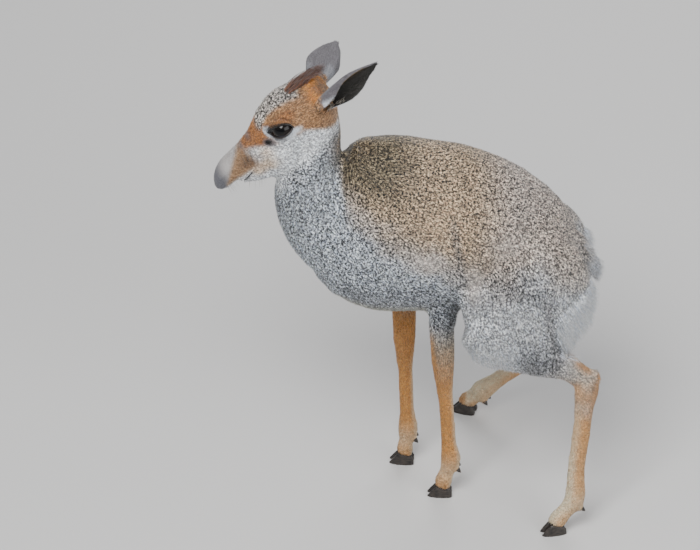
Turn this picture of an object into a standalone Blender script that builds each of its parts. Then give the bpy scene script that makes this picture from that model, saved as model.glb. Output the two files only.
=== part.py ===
"""A dik-dik, a very small antelope, half crouched with its hind legs spread.

Sizes are in millimetres, and become metres where a mesh is made. The animal
faces -Y, its left side is +X, +Z is up and the floor is Z = 0. The flesh is
modelled whole, in lofts along the bones that are joined and smoothed, and
then parted with thin cuts into the pieces that a person would name. The
outline is that of the coat's tips.
"""

import math

import bmesh
import bpy
import numpy as np
from mathutils import Matrix, Vector
from mathutils.bvhtree import BVHTree

MM = 0.001
CUT = 0.34
LEFT = 1
RIGHT = -1

# The middle of the animal's box, in the frame that the sizes below are in:
# there the spine lies in X = 0, and Y = 0 is just behind the neck.
BOX_MIDDLE = (-14.46, 57.06)

# The head: its own frame runs along the skull from the poll to the nose.
POLL = (0.0, -28.6, 454.5)
HEAD_PITCH = 43.5
HEAD_LENGTH = 145.0
EYE_ALONG = 39.0
EYE_UP = 14.5
EYE_ASIDE = 19.8
EYE_RADIUS = 12.0

# The ears: root (along, up, aside in the head), tips, and the way each opens.
# The left one is turned back, the right one is held out level.
EAR_ROOT = (-7.0, 12.0)
EAR_ROOT_ASIDE = 19.0
EAR_TIP = {LEFT: (31.3, 25.0, 522.6), RIGHT: (-92.5, -13.4, 466.6)}
EAR_OPENING = {LEFT: (0.67, -0.07, -0.81), RIGHT: (-0.05, -0.27, -0.96)}
EAR_CUT = {LEFT: 12.0, RIGHT: 14.0}
EAR_WALL = 1.5
EAR_BOW = 2.7
EAR_SWEEP = 3.8
EAR_ROWS = 12
EAR_COLUMNS = 9
EAR_HALF_WIDTH = ((0, 18.5), (0.18, 21), (0.4, 26), (0.6, 22.3), (0.78, 13.6), (0.9, 9.0), (1, 1.8))
EAR_TURN = ((0, 2.5), (0.15, 2.35), (0.4, 1.8), (0.7, 0.85), (1, 0.7))

# The mouth's corner, along and above the skull's axis.
MOUTH_CORNER = 102.0
MOUTH_UP = -7.5

# The legs' joints (aside, along, up) on each side.
ELBOW = {LEFT: (31.0, 91.0, 242.0), RIGHT: (-31.0, 55.0, 238.0)}
CARPUS = {LEFT: (27.0, 93.5, 152.0), RIGHT: (-30.0, 54.5, 146.0)}
FORE_FETLOCK = {LEFT: (26.0, 101.0, 40.0), RIGHT: (-32.0, 58.5, 37.0)}
FORE_TOE = {LEFT: (26.0, 78.0, 0.0), RIGHT: (-33.0, 40.0, 0.0)}
STIFLE = {LEFT: (66.0, 133.0, 222.0), RIGHT: (-78.0, 155.0, 218.0)}
HOCK = {LEFT: (60.0, 237.5, 165.0), RIGHT: (-94.0, 213.0, 110.0)}
HIND_FETLOCK = {LEFT: (88.0, 224.0, 34.0), RIGHT: (-118.0, 131.0, 25.0)}
HIND_TOE = {LEFT: (97.0, 192.0, 0.0), RIGHT: (-126.0, 104.0, 0.0)}

# Half thicknesses of the legs with their coat.
FOREARM_TOP = 16.0
FOREARM = 12.0
CARPUS_HALF = 10.7
FORE_CANNON = 7.3
FORE_FETLOCK_HALF = 9.5
THIGH_ASIDE = 37.0
SEAT = {LEFT: 0.0, RIGHT: 13.0}
CRUS = 20.0
HOCK_HALF = 12.0
HIND_CANNON = 9.2
HIND_FETLOCK_HALF = 10.3
PASTERN = 7.5

# The hooves.
CLAW_LENGTH = 24.5
CLAW_WIDTH = 8.3
CLAW_HEIGHT = 12.8
CORONET_HEIGHT = 11.5
CORONET_TILT = 18.0
# Along the claw from the heel: how far, how wide and how high it is there.
CLAW_OUTLINE = (
    (0.0, 0.55, 0.35),
    (0.12, 0.9, 0.85),
    (0.4, 1.0, 1.15),
    (0.68, 0.9, 0.8),
    (0.88, 0.6, 0.36),
    (1.0, 0.16, 0.08),
)
DEWCLAW_LENGTH = 8.6
DEWCLAW_CUT = 4.4

# Where the foreleg leaves the trunk.
FORELEG_TOP = 200.0

# A slanting way to look along, to tell a body's inside from its outside.
RAY = Vector((0.31, 0.52, 0.79))
# A chip smaller than this is cast away (mm3).
CHIP = 16.0

# How finely the whole form is made, and what is kept of it.
VOXEL = 2.4
SMOOTHING = 26
FLESH_TRIANGLES = 3600

COLOURS = {
    "grizzled_back": (0.19, 0.14, 0.09),
    "grizzled_neck": (0.36, 0.33, 0.29),
    "rufous_face": (0.33, 0.16, 0.06),
    "grey_ear": (0.20, 0.17, 0.16),
    "tan_leg": (0.48, 0.26, 0.12),
    "black_horn": (0.012, 0.011, 0.010),
    "dark_eye": (0.010, 0.007, 0.006),
}
ROUGHNESS = {"black_horn": 0.42, "dark_eye": 0.06}


def material(name):
    """The Principled material of one of the animal's colours."""
    made = bpy.data.materials.get(name)
    if made is None:
        made = bpy.data.materials.new(name)
        made.use_nodes = True
        shader = made.node_tree.nodes["Principled BSDF"]
        shader.inputs["Base Color"].default_value = (*COLOURS[name], 1.0)
        shader.inputs["Roughness"].default_value = ROUGHNESS.get(name, 0.85)
        shader.inputs["Metallic"].default_value = 0.0
        made.diffuse_color = (*COLOURS[name], 1.0)
    return made


def new_object(name, mesh, collection):
    made = bpy.data.objects.new(name, mesh)
    collection.objects.link(made)
    return made


def mesh_of(bm, name):
    mesh = bpy.data.meshes.new(name)
    bmesh.ops.recalc_face_normals(bm, faces=bm.faces)
    bm.to_mesh(mesh)
    bm.free()
    return mesh


def smooth_rows(rows, count):
    """count rows on the natural cubic spline through the given rows, spaced by
    the distance between their first three columns."""
    rows = np.asarray(rows, float)
    chord = np.linalg.norm(np.diff(rows[:, :3], axis=0), axis=1)
    knots = np.concatenate([[0.0], np.cumsum(np.maximum(chord, 1e-6))])
    last = len(rows) - 1
    step = np.diff(knots)
    system = np.eye(last + 1)
    right = np.zeros_like(rows)
    for i in range(1, last):
        system[i, i - 1 : i + 2] = step[i - 1], 2 * (step[i - 1] + step[i]), step[i]
        slopes = (rows[i + 1] - rows[i]) / step[i] - (rows[i] - rows[i - 1]) / step[i - 1]
        right[i] = 6 * slopes
    bend = np.linalg.solve(system, right)
    at = np.linspace(0, knots[-1], count)
    i = np.clip(np.searchsorted(knots, at, side="right") - 1, 0, last - 1)
    width = step[i][:, None]
    a = (knots[i + 1] - at)[:, None]
    b = (at - knots[i])[:, None]
    curve = (bend[i] * a**3 + bend[i + 1] * b**3) / (6 * width)
    curve += (rows[i] / width - bend[i] * width / 6) * a
    return curve + (rows[i + 1] / width - bend[i + 1] * width / 6) * b


def loft(bm, stations, rings=30, sides=28, way=None):
    """A closed tube through stations (x, y, z, half width, half depth, taper).

    Each ring lies across the path, or across the given way. Its width runs
    along X as far as that allows, and a taper above 0 makes it wider on its
    upper or front side.
    """
    rows = smooth_rows([tuple(row) + (0.0,) * (6 - len(row)) for row in stations], rings)
    centre = rows[:, :3]
    tangent = np.gradient(centre, axis=0) if way is None else np.tile(way, (rings, 1)) * 1.0
    tangent /= np.linalg.norm(tangent, axis=1, keepdims=True)
    across = np.array([1.0, 0, 0]) - tangent[:, :1] * tangent
    across /= np.linalg.norm(across, axis=1, keepdims=True)
    deep = np.cross(tangent, across)
    angle = np.linspace(0, 2 * math.pi, sides, endpoint=False)
    wide = np.maximum(rows[:, 3:4], 0.3) * np.cos(angle)
    wide *= 1 + rows[:, 5:6] * np.sin(angle)
    high = np.maximum(rows[:, 4:5], 0.3) * np.sin(angle)
    points = centre[:, None] + wide[..., None] * across[:, None] + high[..., None] * deep[:, None]
    grid = [[bm.verts.new(Vector(p) * MM) for p in ring] for ring in points]
    for low, top in zip(grid, grid[1:]):
        for k in range(sides):
            bm.faces.new((low[k], low[k - 1], top[k - 1], top[k]))
    for ring, middle in ((grid[0], centre[0]), (grid[-1], centre[-1])):
        tip = bm.verts.new(Vector(middle) * MM)
        for k in range(sides):
            bm.faces.new((ring[k - 1], ring[k], tip))


def lump(bm, centre, halves, pitch=0.0, yaw=0.0, roll=0.0):
    """An ellipsoid with the given half sizes, turned in degrees."""
    turn = Matrix.Rotation(math.radians(yaw), 4, "Z")
    turn @= Matrix.Rotation(math.radians(pitch), 4, "X")
    turn @= Matrix.Rotation(math.radians(roll), 4, "Y")
    place = Matrix.Translation(Vector(centre) * MM) @ turn
    place @= Matrix.Diagonal((*[h * MM for h in halves], 1.0))
    bmesh.ops.create_uvsphere(bm, u_segments=24, v_segments=16, radius=1.0, matrix=place)


def between(a, b, share):
    return tuple(np.asarray(a, float) * (1 - share) + np.asarray(b, float) * share)


def in_head(along, up, aside=0.0):
    """A point given along the skull from the poll, above its axis, and aside."""
    pitch = math.radians(HEAD_PITCH)
    return (
        POLL[0] + aside,
        POLL[1] - along * math.cos(pitch) - up * math.sin(pitch),
        POLL[2] - along * math.sin(pitch) + up * math.cos(pitch),
    )


def lifted(along, up, to_along, to_up):
    """The way square to a line seen from the head's side, pointing upwards."""
    line = Vector(in_head(along, up)) - Vector(in_head(to_along, to_up))
    return line.cross(Vector((1, 0, 0))).normalized()


def head_station(along, top, bottom, half_width, taper=0.0):
    return (*in_head(along, (top + bottom) / 2), half_width, (top - bottom) / 2, taper)


def head_form(bm):
    """Skull, long soft nose, lips, jaw, cheeks and the rims of the eyes."""
    loft(
        bm,
        [
            head_station(-13, 8, -14, 9),
            head_station(-8, 21, -24, 20, 0.05),
            head_station(2, 33, -29, 26, 0.08),
            head_station(13, 36.5, -30, 28, 0.12),
            head_station(30, 38, -31, 29, 0.16),
            head_station(48, 36, -30, 26.5, 0.14),
            head_station(62, 31, -29, 21.5, 0.05),
            head_station(77, 26, -28, 17, -0.03),
            head_station(92, 24, -25, 14.8, -0.05),
            head_station(106, 22.5, -17, 13.4, -0.05),
            head_station(119, 20, -9, 12.4),
            head_station(130, 14.5, -8.5, 11),
            head_station(139, 7.5, -9, 8.6),
            head_station(HEAD_LENGTH, 0.5, -6, 3.5),
        ],
        rings=44,
    )
    # Lower jaw, from its angle below the ear to the chin.
    loft(
        bm,
        [
            head_station(36, -6, -33, 18),
            head_station(60, -8, -37, 19.5),
            head_station(80, -8, -33.5, 15.5),
            head_station(97, -6, -27, 11.5),
            head_station(110, -4, -21, 8.8),
            head_station(119, -4.5, -16, 5.8),
        ],
    )
    for side in (LEFT, RIGHT):
        lump(bm, in_head(58, -13, side * 12), (12, 27, 21), pitch=HEAD_PITCH)
        lump(bm, in_head(EYE_ALONG, EYE_UP + 1, side * 17), (12.5, 19, 15.5), pitch=HEAD_PITCH)
        lump(bm, in_head(6, 9, side * 17), (13, 15, 16), pitch=HEAD_PITCH)
        lump(bm, in_head(121, 5.5, side * 6.5), (6.8, 16, 10), pitch=HEAD_PITCH + 14)


def neck_form(bm):
    """The neck rises almost upright from a deep, full-furred chest."""
    loft(
        bm,
        [
            (0, -35, 446, 23, 22),
            (0, -32, 418, 26.5, 23),
            (0, -36, 388, 29.5, 28),
            (0, -38, 360, 34, 37),
            (0, -32, 332, 39, 42),
            (0, -18, 305, 44, 44),
            (0, 4, 288, 47, 44),
            (0, 34, 284, 40, 42),
        ],
        rings=36,
        sides=32,
    )


def trunk_station(y, top, bottom, half_width, taper=0.0):
    return (0, y, (top + bottom) / 2, half_width, (top - bottom) / 2, taper)


def trunk_form(bm):
    """The hunched trunk: high arched back, rounded rump and full belly."""
    loft(
        bm,
        [
            trunk_station(230, 294, 276, 9),
            trunk_station(226, 302, 266, 20),
            trunk_station(219, 317, 257, 30),
            trunk_station(207, 336, 248, 41),
            trunk_station(190, 353, 242, 51, -0.02),
            trunk_station(166, 371, 236, 60, -0.03),
            trunk_station(140, 385, 227, 64, -0.04),
            trunk_station(110, 397, 218, 65, -0.04),
            trunk_station(80, 403, 215, 64, -0.04),
            trunk_station(50, 409, 213, 61, -0.04),
            trunk_station(24, 409, 213.5, 56, -0.05),
            trunk_station(5, 404, 219, 50, -0.06),
            trunk_station(-3, 396, 223, 47.5, -0.06),
            trunk_station(-11, 383, 229, 45, -0.07),
            trunk_station(-20, 364, 235, 41, -0.08),
            trunk_station(-28, 342, 245, 36),
            trunk_station(-37, 322, 258, 27),
            trunk_station(-42, 308, 272, 12),
        ],
        rings=56,
        sides=36,
        way=(0, -1, 0),
    )
    for side in (LEFT, RIGHT):
        lump(bm, (side * 32, 27, 308), (22, 44, 64), pitch=-12)
        lump(bm, (side * 30, 62, 262), (20, 46, 28), pitch=-6)


def foot_direction(fetlock, toe):
    way = Vector((toe[0] - fetlock[0], toe[1] - fetlock[1], 0.0))
    return way.normalized()


def coronet(fetlock, toe):
    """Where the flesh ends above the hoof: the middle of the claws' top."""
    middle = Vector(toe) - foot_direction(fetlock, toe) * CLAW_LENGTH * 0.60
    middle.z = CORONET_HEIGHT
    return middle


def fore_leg_form(bm, side):
    elbow, carpus = ELBOW[side], CARPUS[side]
    fetlock, toe = FORE_FETLOCK[side], FORE_TOE[side]
    foot = coronet(fetlock, toe)
    above = (elbow[0], elbow[1] - 16, elbow[2] + 32)
    loft(
        bm,
        [
            (*above, FOREARM_TOP, 24),
            (*elbow, FOREARM_TOP - 1, 19),
            (*between(elbow, carpus, 0.35), FOREARM, 13.8),
            (*between(elbow, carpus, 0.75), FOREARM - 1.5, FOREARM + 0.2),
            (*between(elbow, carpus, 0.98), CARPUS_HALF, CARPUS_HALF + 0.4),
            (*between(carpus, fetlock, 0.12), CARPUS_HALF - 1.5, CARPUS_HALF - 1.3),
            (*between(carpus, fetlock, 0.28), FORE_CANNON + 0.2, FORE_CANNON + 0.5),
            (*between(carpus, fetlock, 0.60), FORE_CANNON, FORE_CANNON + 0.2),
            (*between(carpus, fetlock, 0.86), FORE_CANNON + 0.8, FORE_CANNON + 1.4),
            (*fetlock, FORE_FETLOCK_HALF, FORE_FETLOCK_HALF + 0.6),
            (*between(fetlock, foot, 0.45), PASTERN + 0.3, PASTERN),
            (*between(fetlock, foot, 0.85), PASTERN + 1.8, PASTERN + 1.4),
            (*between(fetlock, foot, 1.25), PASTERN + 1.2, PASTERN),
        ],
        rings=70,
        sides=20,
    )


def hind_leg_form(bm, side):
    stifle, hock = STIFLE[side], HOCK[side]
    fetlock, toe = HIND_FETLOCK[side], HIND_TOE[side]
    foot = coronet(fetlock, toe)
    knee = abs(stifle[0])
    back = stifle[1] - STIFLE[LEFT][1]
    seat = SEAT[side]
    # The thigh: level slices from the hip down to the stifle.
    loft(
        bm,
        [
            (side * 26, 160 - seat, 334, 12, 14),
            (side * 30, 163 - seat, 318, THIGH_ASIDE - 13, 36),
            (side * 34, 168 - seat, 296, THIGH_ASIDE - 4, 54),
            (side * 40, 174 - seat / 2, 268, THIGH_ASIDE, 66 - seat / 2),
            (side * (knee - 19), 170 + back * 0.4, 243, THIGH_ASIDE - 4, 66 - back * 0.3),
            (side * (knee - 12), 163 + back * 0.7, 220, THIGH_ASIDE - 10, 56 - back * 0.5),
            (side * (knee - 7), 156 + back, 203, THIGH_ASIDE - 18, 40 - back * 0.6),
            (side * (knee - 4), 153 + back, 192, 8, 14),
        ],
        rings=30,
    )
    # Stifle, crus and the point of the hock.
    start = between(stifle, hock, 0.0)
    heel = Vector(hock) + (Vector(hock) - Vector(stifle)).normalized() * 10 + Vector((0, 2, 9))
    loft(
        bm,
        [
            (start[0], start[1] - 17, start[2] + 6, CRUS - 8, CRUS - 6),
            (*start, CRUS, CRUS + 8),
            (*between(stifle, hock, 0.30), CRUS - 1, CRUS + 6),
            (*between(stifle, hock, 0.60), CRUS - 6, CRUS),
            (*between(stifle, hock, 0.85), HOCK_HALF - 2.0, HOCK_HALF + 1.5),
            (*hock, HOCK_HALF - 3, HOCK_HALF - 0.5),
            (*heel, HOCK_HALF - 5.5, HOCK_HALF - 5.5),
        ],
        rings=40,
        sides=24,
    )
    # Hock, cannon, fetlock and pastern.
    over = Vector(hock) + (Vector(hock) - Vector(fetlock)).normalized() * 6
    loft(
        bm,
        [
            (*over, HOCK_HALF - 4, HOCK_HALF - 3),
            (*between(hock, fetlock, 0.04), HOCK_HALF - 1.5, HOCK_HALF + 0.6),
            (*between(hock, fetlock, 0.20), HIND_CANNON + 0.6, HIND_CANNON + 1.6),
            (*between(hock, fetlock, 0.50), HIND_CANNON - 0.8, HIND_CANNON),
            (*between(hock, fetlock, 0.85), HIND_CANNON - 0.6, HIND_CANNON + 0.3),
            (*fetlock, HIND_FETLOCK_HALF - 0.6, HIND_FETLOCK_HALF),
            (*between(fetlock, foot, 0.45), PASTERN + 0.8, PASTERN + 0.6),
            (*between(fetlock, foot, 0.85), PASTERN + 2.0, PASTERN + 1.6),
            (*between(fetlock, foot, 1.25), PASTERN + 1.4, PASTERN),
        ],
        rings=70,
        sides=20,
    )


def tail_form(bm):
    loft(
        bm,
        [
            (0, 205, 300, 10, 9),
            (0, 222, 293, 12, 10),
            (0, 236, 281, 12, 9.5),
            (0, 243, 266, 9.5, 7),
            (0, 244, 252, 4, 4),
        ],
    )


def points_of(mesh):
    points = np.empty(len(mesh.vertices) * 3)
    mesh.vertices.foreach_get("co", points)
    return points.reshape(-1, 3)


def middle_of(mesh):
    return Vector(points_of(mesh).mean(axis=0))


def distance_to(mesh, point):
    """How far the point lies outside the closed mesh, or 0 inside it, which is
    where a ray from it crosses the surface an odd number of times."""
    corners = [vertex.co for vertex in mesh.vertices]
    tree = BVHTree.FromPolygons(corners, [face.vertices for face in mesh.polygons])
    inside = False
    spot = tree.ray_cast(point, RAY)[0]
    while spot is not None:
        inside = not inside
        spot = tree.ray_cast(spot + RAY * 1e-6, RAY)[0]
    return 0.0 if inside else tree.find_nearest(point)[3]


def volume(mesh):
    """The closed mesh's volume in mm3."""
    bm = bmesh.new()
    bm.from_mesh(mesh)
    size = bm.calc_volume() / MM**3
    bm.free()
    return size


def relax(mesh, passes, shape):
    """Taubin smoothing: each point moves towards its neighbours' mean, then
    back a little further, so that creases go and thickness stays. shape(points)
    gives each point's share of the move."""
    count = len(mesh.vertices)
    points = points_of(mesh)
    edges = np.empty(len(mesh.edges) * 2, np.int32)
    mesh.edges.foreach_get("vertices", edges)
    a, b = edges.reshape(-1, 2).T
    number = np.bincount(a, minlength=count) + np.bincount(b, minlength=count)
    weight = shape(points)[:, None]
    for step in range(2 * passes):
        total = np.stack(
            [
                np.bincount(a, points[b, k], count) + np.bincount(b, points[a, k], count)
                for k in range(3)
            ],
            axis=1,
        )
        pull = total / np.maximum(number, 1)[:, None] - points
        points = points + pull * weight * (0.5 if step % 2 == 0 else -0.51)
    mesh.vertices.foreach_set("co", points.ravel())
    mesh.update()


def ramp(value, low, high):
    t = np.clip((value - low) / (high - low), 0, 1)
    return t * t * (3 - 2 * t)


def softness(points):
    """Trunk and neck are smoothed fully, the face and lower legs less."""
    y, z = points[:, 1] / MM, points[:, 2] / MM
    legs = 0.25 + 0.75 * ramp(z, 170, 240)
    face = 1 - 0.72 * ramp(-y, 40, 75) * ramp(z, 350, 385)
    return legs * face


def evaluated_mesh(obj):
    graph = bpy.context.evaluated_depsgraph_get()
    return bpy.data.meshes.new_from_object(obj.evaluated_get(graph))


def with_modifier(obj, kind, **settings):
    """Applies one modifier to the object's own mesh."""
    modifier = obj.modifiers.new(kind, kind)
    for key, value in settings.items():
        setattr(modifier, key, value)
    bpy.context.view_layer.update()
    mesh = evaluated_mesh(obj)
    obj.modifiers.clear()
    obj.data = mesh
    return mesh


def flesh_form(collection):
    bm = bmesh.new()
    head_form(bm)
    neck_form(bm)
    trunk_form(bm)
    tail_form(bm)
    for side in (LEFT, RIGHT):
        fore_leg_form(bm, side)
        hind_leg_form(bm, side)
    body = new_object("flesh", mesh_of(bm, "flesh"), collection)
    with_modifier(body, "REMESH", mode="VOXEL", voxel_size=VOXEL * MM, adaptivity=0.0)
    relax(body.data, SMOOTHING, softness)
    share = FLESH_TRIANGLES / (2.0 * len(body.data.polygons))
    with_modifier(body, "DECIMATE", decimate_type="COLLAPSE", ratio=share)
    return body


def unit(v):
    return np.asarray(v, float) / np.linalg.norm(v)


def ear_mesh(root, tip, opening, sweep):
    """A leaf rolled into a tube at its root. Across it each row is an arc,
    whose half length is the leaf's half width there."""
    root, tip = np.asarray(root, float), np.asarray(tip, float)
    axis = unit(tip - root)
    back = -unit(opening)
    back = unit(back - axis * back.dot(axis))
    across = np.cross(axis, back)
    v = np.linspace(0, 1, EAR_ROWS)
    half = np.interp(v, *zip(*EAR_HALF_WIDTH))
    turn = np.interp(v, *zip(*EAR_TURN))
    radius = half / turn
    angle = turn[:, None] * np.linspace(-1, 1, EAR_COLUMNS)
    length = np.linalg.norm(tip - root)
    spine = root + axis * (v * length)[:, None]
    spine = spine + (back * EAR_BOW + across * sweep) * np.sin(math.pi * v)[:, None]
    points = spine[:, None] - back * (radius[:, None] * (1 - np.cos(angle)))[..., None]
    points += across * (radius[:, None] * np.sin(angle))[..., None]
    bm = bmesh.new()
    grid = [[bm.verts.new(Vector(p) * MM) for p in row] for row in points]
    for low, top in zip(grid, grid[1:]):
        for k in range(EAR_COLUMNS - 1):
            bm.faces.new((low[k], low[k + 1], top[k + 1], top[k]))
    return mesh_of(bm, "ear")


def ear_form(collection, side):
    root = in_head(*EAR_ROOT, side * EAR_ROOT_ASIDE)
    mesh = ear_mesh(root, EAR_TIP[side], EAR_OPENING[side], side * EAR_SWEEP)
    ear = new_object("ear_form", mesh, collection)
    with_modifier(ear, "SOLIDIFY", thickness=EAR_WALL * MM, offset=0.0, use_even_offset=True)
    return ear


def crest_form(collection):
    """The tuft of stiff hair that lies back over the crown."""
    bm = bmesh.new()
    loft(
        bm,
        [
            (*in_head(17, 32), 6, 4.0),
            (*in_head(6, 35.5), 8.5, 5.8),
            (*in_head(-6, 35.5), 7.5, 5.2),
            (*in_head(-18, 33.5), 4.8, 3.8),
            (*in_head(-31, 30.5), 1.2, 1.2),
        ],
        rings=9,
        sides=9,
    )
    return new_object("crest_form", mesh_of(bm, "crest"), collection)


def dewclaw_place(fetlock, toe, hand):
    """The middle of a small side hoof's root behind the fetlock, and its way."""
    forward = foot_direction(fetlock, toe)
    aside = Vector((-forward.y, forward.x, 0.0)) * hand
    root = Vector(fetlock) + aside * 4.6 - forward * (FORE_FETLOCK_HALF - 3.2)
    root.z -= 5.5
    way = (aside * 0.35 - forward * 0.85 + Vector((0, 0, -0.9))).normalized()
    return root, way


def dewclaw_form(collection, fetlock, toe, hand):
    root, way = dewclaw_place(fetlock, toe, hand)
    bm = bmesh.new()
    turn = way.to_track_quat("Z", "Y").to_matrix().to_4x4()
    place = Matrix.Translation((root + way * (DEWCLAW_LENGTH / 2)) * MM) @ turn
    bmesh.ops.create_cone(
        bm,
        cap_ends=True,
        segments=7,
        radius1=3.4 * MM,
        radius2=1.2 * MM,
        depth=DEWCLAW_LENGTH * MM,
        matrix=place,
    )
    return new_object("dewclaw_form", mesh_of(bm, "dewclaw"), collection)


def slab(collection, centre, normal, halves=(20.0, 20.0), along=(1, 0, 0), gap=CUT):
    """A thin box that parts the flesh: its middle, the way across it, and its
    half sizes along and across the given direction in its plane."""
    normal = Vector(normal).normalized()
    first = Vector(along)
    first = (first - normal * first.dot(normal)).normalized()
    turn = Matrix((first, normal.cross(first), normal)).transposed().to_4x4()
    bm = bmesh.new()
    size = Matrix.Diagonal((2 * halves[0] * MM, 2 * halves[1] * MM, gap * MM, 1.0))
    place = Matrix.Translation(Vector(centre) * MM) @ turn @ size
    bmesh.ops.create_cube(bm, size=1.0, matrix=place)
    made = new_object("cut", mesh_of(bm, "cut"), collection)
    made.hide_render = True
    made.display_type = "WIRE"
    return made


def coronet_normal(fetlock, toe):
    """Across the hoof's top edge, which is higher in front than at the heel."""
    tilt = math.radians(CORONET_TILT)
    forward = foot_direction(fetlock, toe)
    return (Vector((0, 0, 1)) * math.cos(tilt) - forward * math.sin(tilt)).normalized()


def cuts(collection):
    """Every thin cut, from the head to the feet."""
    pitch = math.radians(HEAD_PITCH)
    skull = Vector((0, -math.cos(pitch), -math.sin(pitch)))
    made = [
        slab(collection, (0, -38, 396), (0, -0.70, 0.714), (60, 62)),
        slab(collection, (0, -33, 342), (0, -0.80, 0.60), (72, 92)),
        slab(collection, in_head(6, 32.6), lifted(26, 38.2, -14, 27), (15, 22)),
    ]
    mouth = Vector(in_head(120, -12.5)) - Vector(in_head(MOUTH_CORNER, MOUTH_UP))
    jaw = Vector(in_head(81, -40)) - Vector(in_head(MOUTH_CORNER, MOUTH_UP))
    side_on = Vector((1, 0, 0))
    for way, reach, start in ((mouth, 21, 18.5), (jaw, 24, 21.5)):
        way = way.normalized()
        middle = Vector(in_head(MOUTH_CORNER, MOUTH_UP)) + way * start
        made.append(slab(collection, middle, side_on.cross(way), (28, reach)))
    made.append(slab(collection, in_head(100, 13), skull, (24, 22)))
    for side in (LEFT, RIGHT):
        ear_root = Vector(in_head(*EAR_ROOT, side * EAR_ROOT_ASIDE))
        ear_way = (Vector(EAR_TIP[side]) - ear_root).normalized()
        made.append(slab(collection, ear_root + ear_way * EAR_CUT[side], ear_way, (26, 26)))
        hip = Vector((side * 36, 176, 268))
        made.append(slab(collection, hip, (side * 0.865, 0.351, -0.359), (84, 76), (0, 0, 1)))
        if side == RIGHT:
            made.append(slab(collection, (0, 232.5, 281), (0, 0.985, 0.17), (17, 33)))
        elbow, carpus = Vector(ELBOW[side]), Vector(CARPUS[side])
        top = elbow.lerp(carpus, (elbow.z - FORELEG_TOP) / (elbow.z - carpus.z))
        made.append(slab(collection, top, (0, 0, 1), (24, 27)))
        stifle, hock = Vector(STIFLE[side]), Vector(HOCK[side])
        made.append(slab(collection, stifle.lerp(hock, 0.745), hock - stifle, (26, 26)))
        legs = (
            (Vector(CARPUS[side]), Vector(FORE_FETLOCK[side]), Vector(FORE_TOE[side]), 0.15, 0.87),
            (hock, Vector(HIND_FETLOCK[side]), Vector(HIND_TOE[side]), 0.20, 0.87),
        )
        for joint, fetlock, toe, high, low in legs:
            for share in (high, low):
                made.append(slab(collection, joint.lerp(fetlock, share), fetlock - joint, (17, 17)))
            across = coronet_normal(fetlock, toe)
            made.append(slab(collection, coronet(fetlock, toe), across, (17, 17)))
            for hand in (-1, 1):
                root, way = dewclaw_place(fetlock, toe, hand)
                made.append(slab(collection, root + way * DEWCLAW_CUT, way, (5.2, 5.2)))
    return made


def boolean(obj, operation, other):
    with_modifier(obj, "BOOLEAN", operation=operation, solver="MANIFOLD", object=other)


def islands(mesh):
    """The mesh's loose bodies, each as a new mesh."""
    bm = bmesh.new()
    bm.from_mesh(mesh)
    waiting = set(bm.verts)
    found = []
    while waiting:
        group = {waiting.pop()}
        front = list(group)
        while front:
            vertex = front.pop()
            for edge in vertex.link_edges:
                other = edge.other_vert(vertex)
                if other in waiting:
                    waiting.remove(other)
                    group.add(other)
                    front.append(other)
        found.append(group)
    made = []
    for group in found:
        part = bmesh.new()
        copies = {vertex: part.verts.new(vertex.co) for vertex in group}
        for face in {face for vertex in group for face in vertex.link_faces}:
            part.faces.new([copies[vertex] for vertex in face.verts])
        made.append(mesh_of(part, "piece"))
    bm.free()
    return made


def flesh_pieces():
    """Each flesh piece's name, colour and rough middle. None is cast away."""
    pieces = {
        "head": ("rufous_face", in_head(35, 2)),
        "muzzle": ("rufous_face", in_head(124, 6)),
        "lower_jaw": ("grizzled_neck", in_head(97, -20)),
        "neck": ("grizzled_neck", (0, -40, 365)),
        "trunk": ("grizzled_back", (0, 90, 300)),
        "tail": ("grizzled_back", (0, 235, 275)),
        "crest": ("rufous_face", in_head(-8, 36)),
    }
    for side, word in ((LEFT, "left"), (RIGHT, "right")):
        elbow, carpus, stifle, hock = ELBOW[side], CARPUS[side], STIFLE[side], HOCK[side]
        root = in_head(*EAR_ROOT, side * EAR_ROOT_ASIDE)
        pieces[f"{word}_ear"] = "grey_ear", between(root, EAR_TIP[side], 0.5)
        pieces[f"{word}_forearm"] = "tan_leg", between(elbow, carpus, 0.75)
        pieces[f"{word}_thigh"] = "grizzled_back", (side * 58, 165, 245)
        pieces[f"{word}_gaskin"] = "tan_leg", between(stifle, hock, 0.95)
        legs = (
            ("fore", carpus, FORE_FETLOCK[side], FORE_TOE[side]),
            ("hind", hock, HIND_FETLOCK[side], HIND_TOE[side]),
        )
        for word2, joint, fetlock, toe in legs:
            foot = coronet(fetlock, toe)
            name = f"{word}_{word2}"
            pieces[f"{name}_cannon"] = "tan_leg", between(joint, fetlock, 0.5)
            pieces[f"{name}_pastern"] = "tan_leg", between(fetlock, foot, 0.4)
            pieces[f"{name}_stub"] = None, foot - Vector((0, 0, 6))
            for hand, word3 in ((-1, "inner"), (1, "outer")):
                place, way = dewclaw_place(fetlock, toe, hand * side)
                pieces[f"{name}_{word3}_dewclaw"] = "black_horn", place + way * 5
    return pieces


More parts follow.
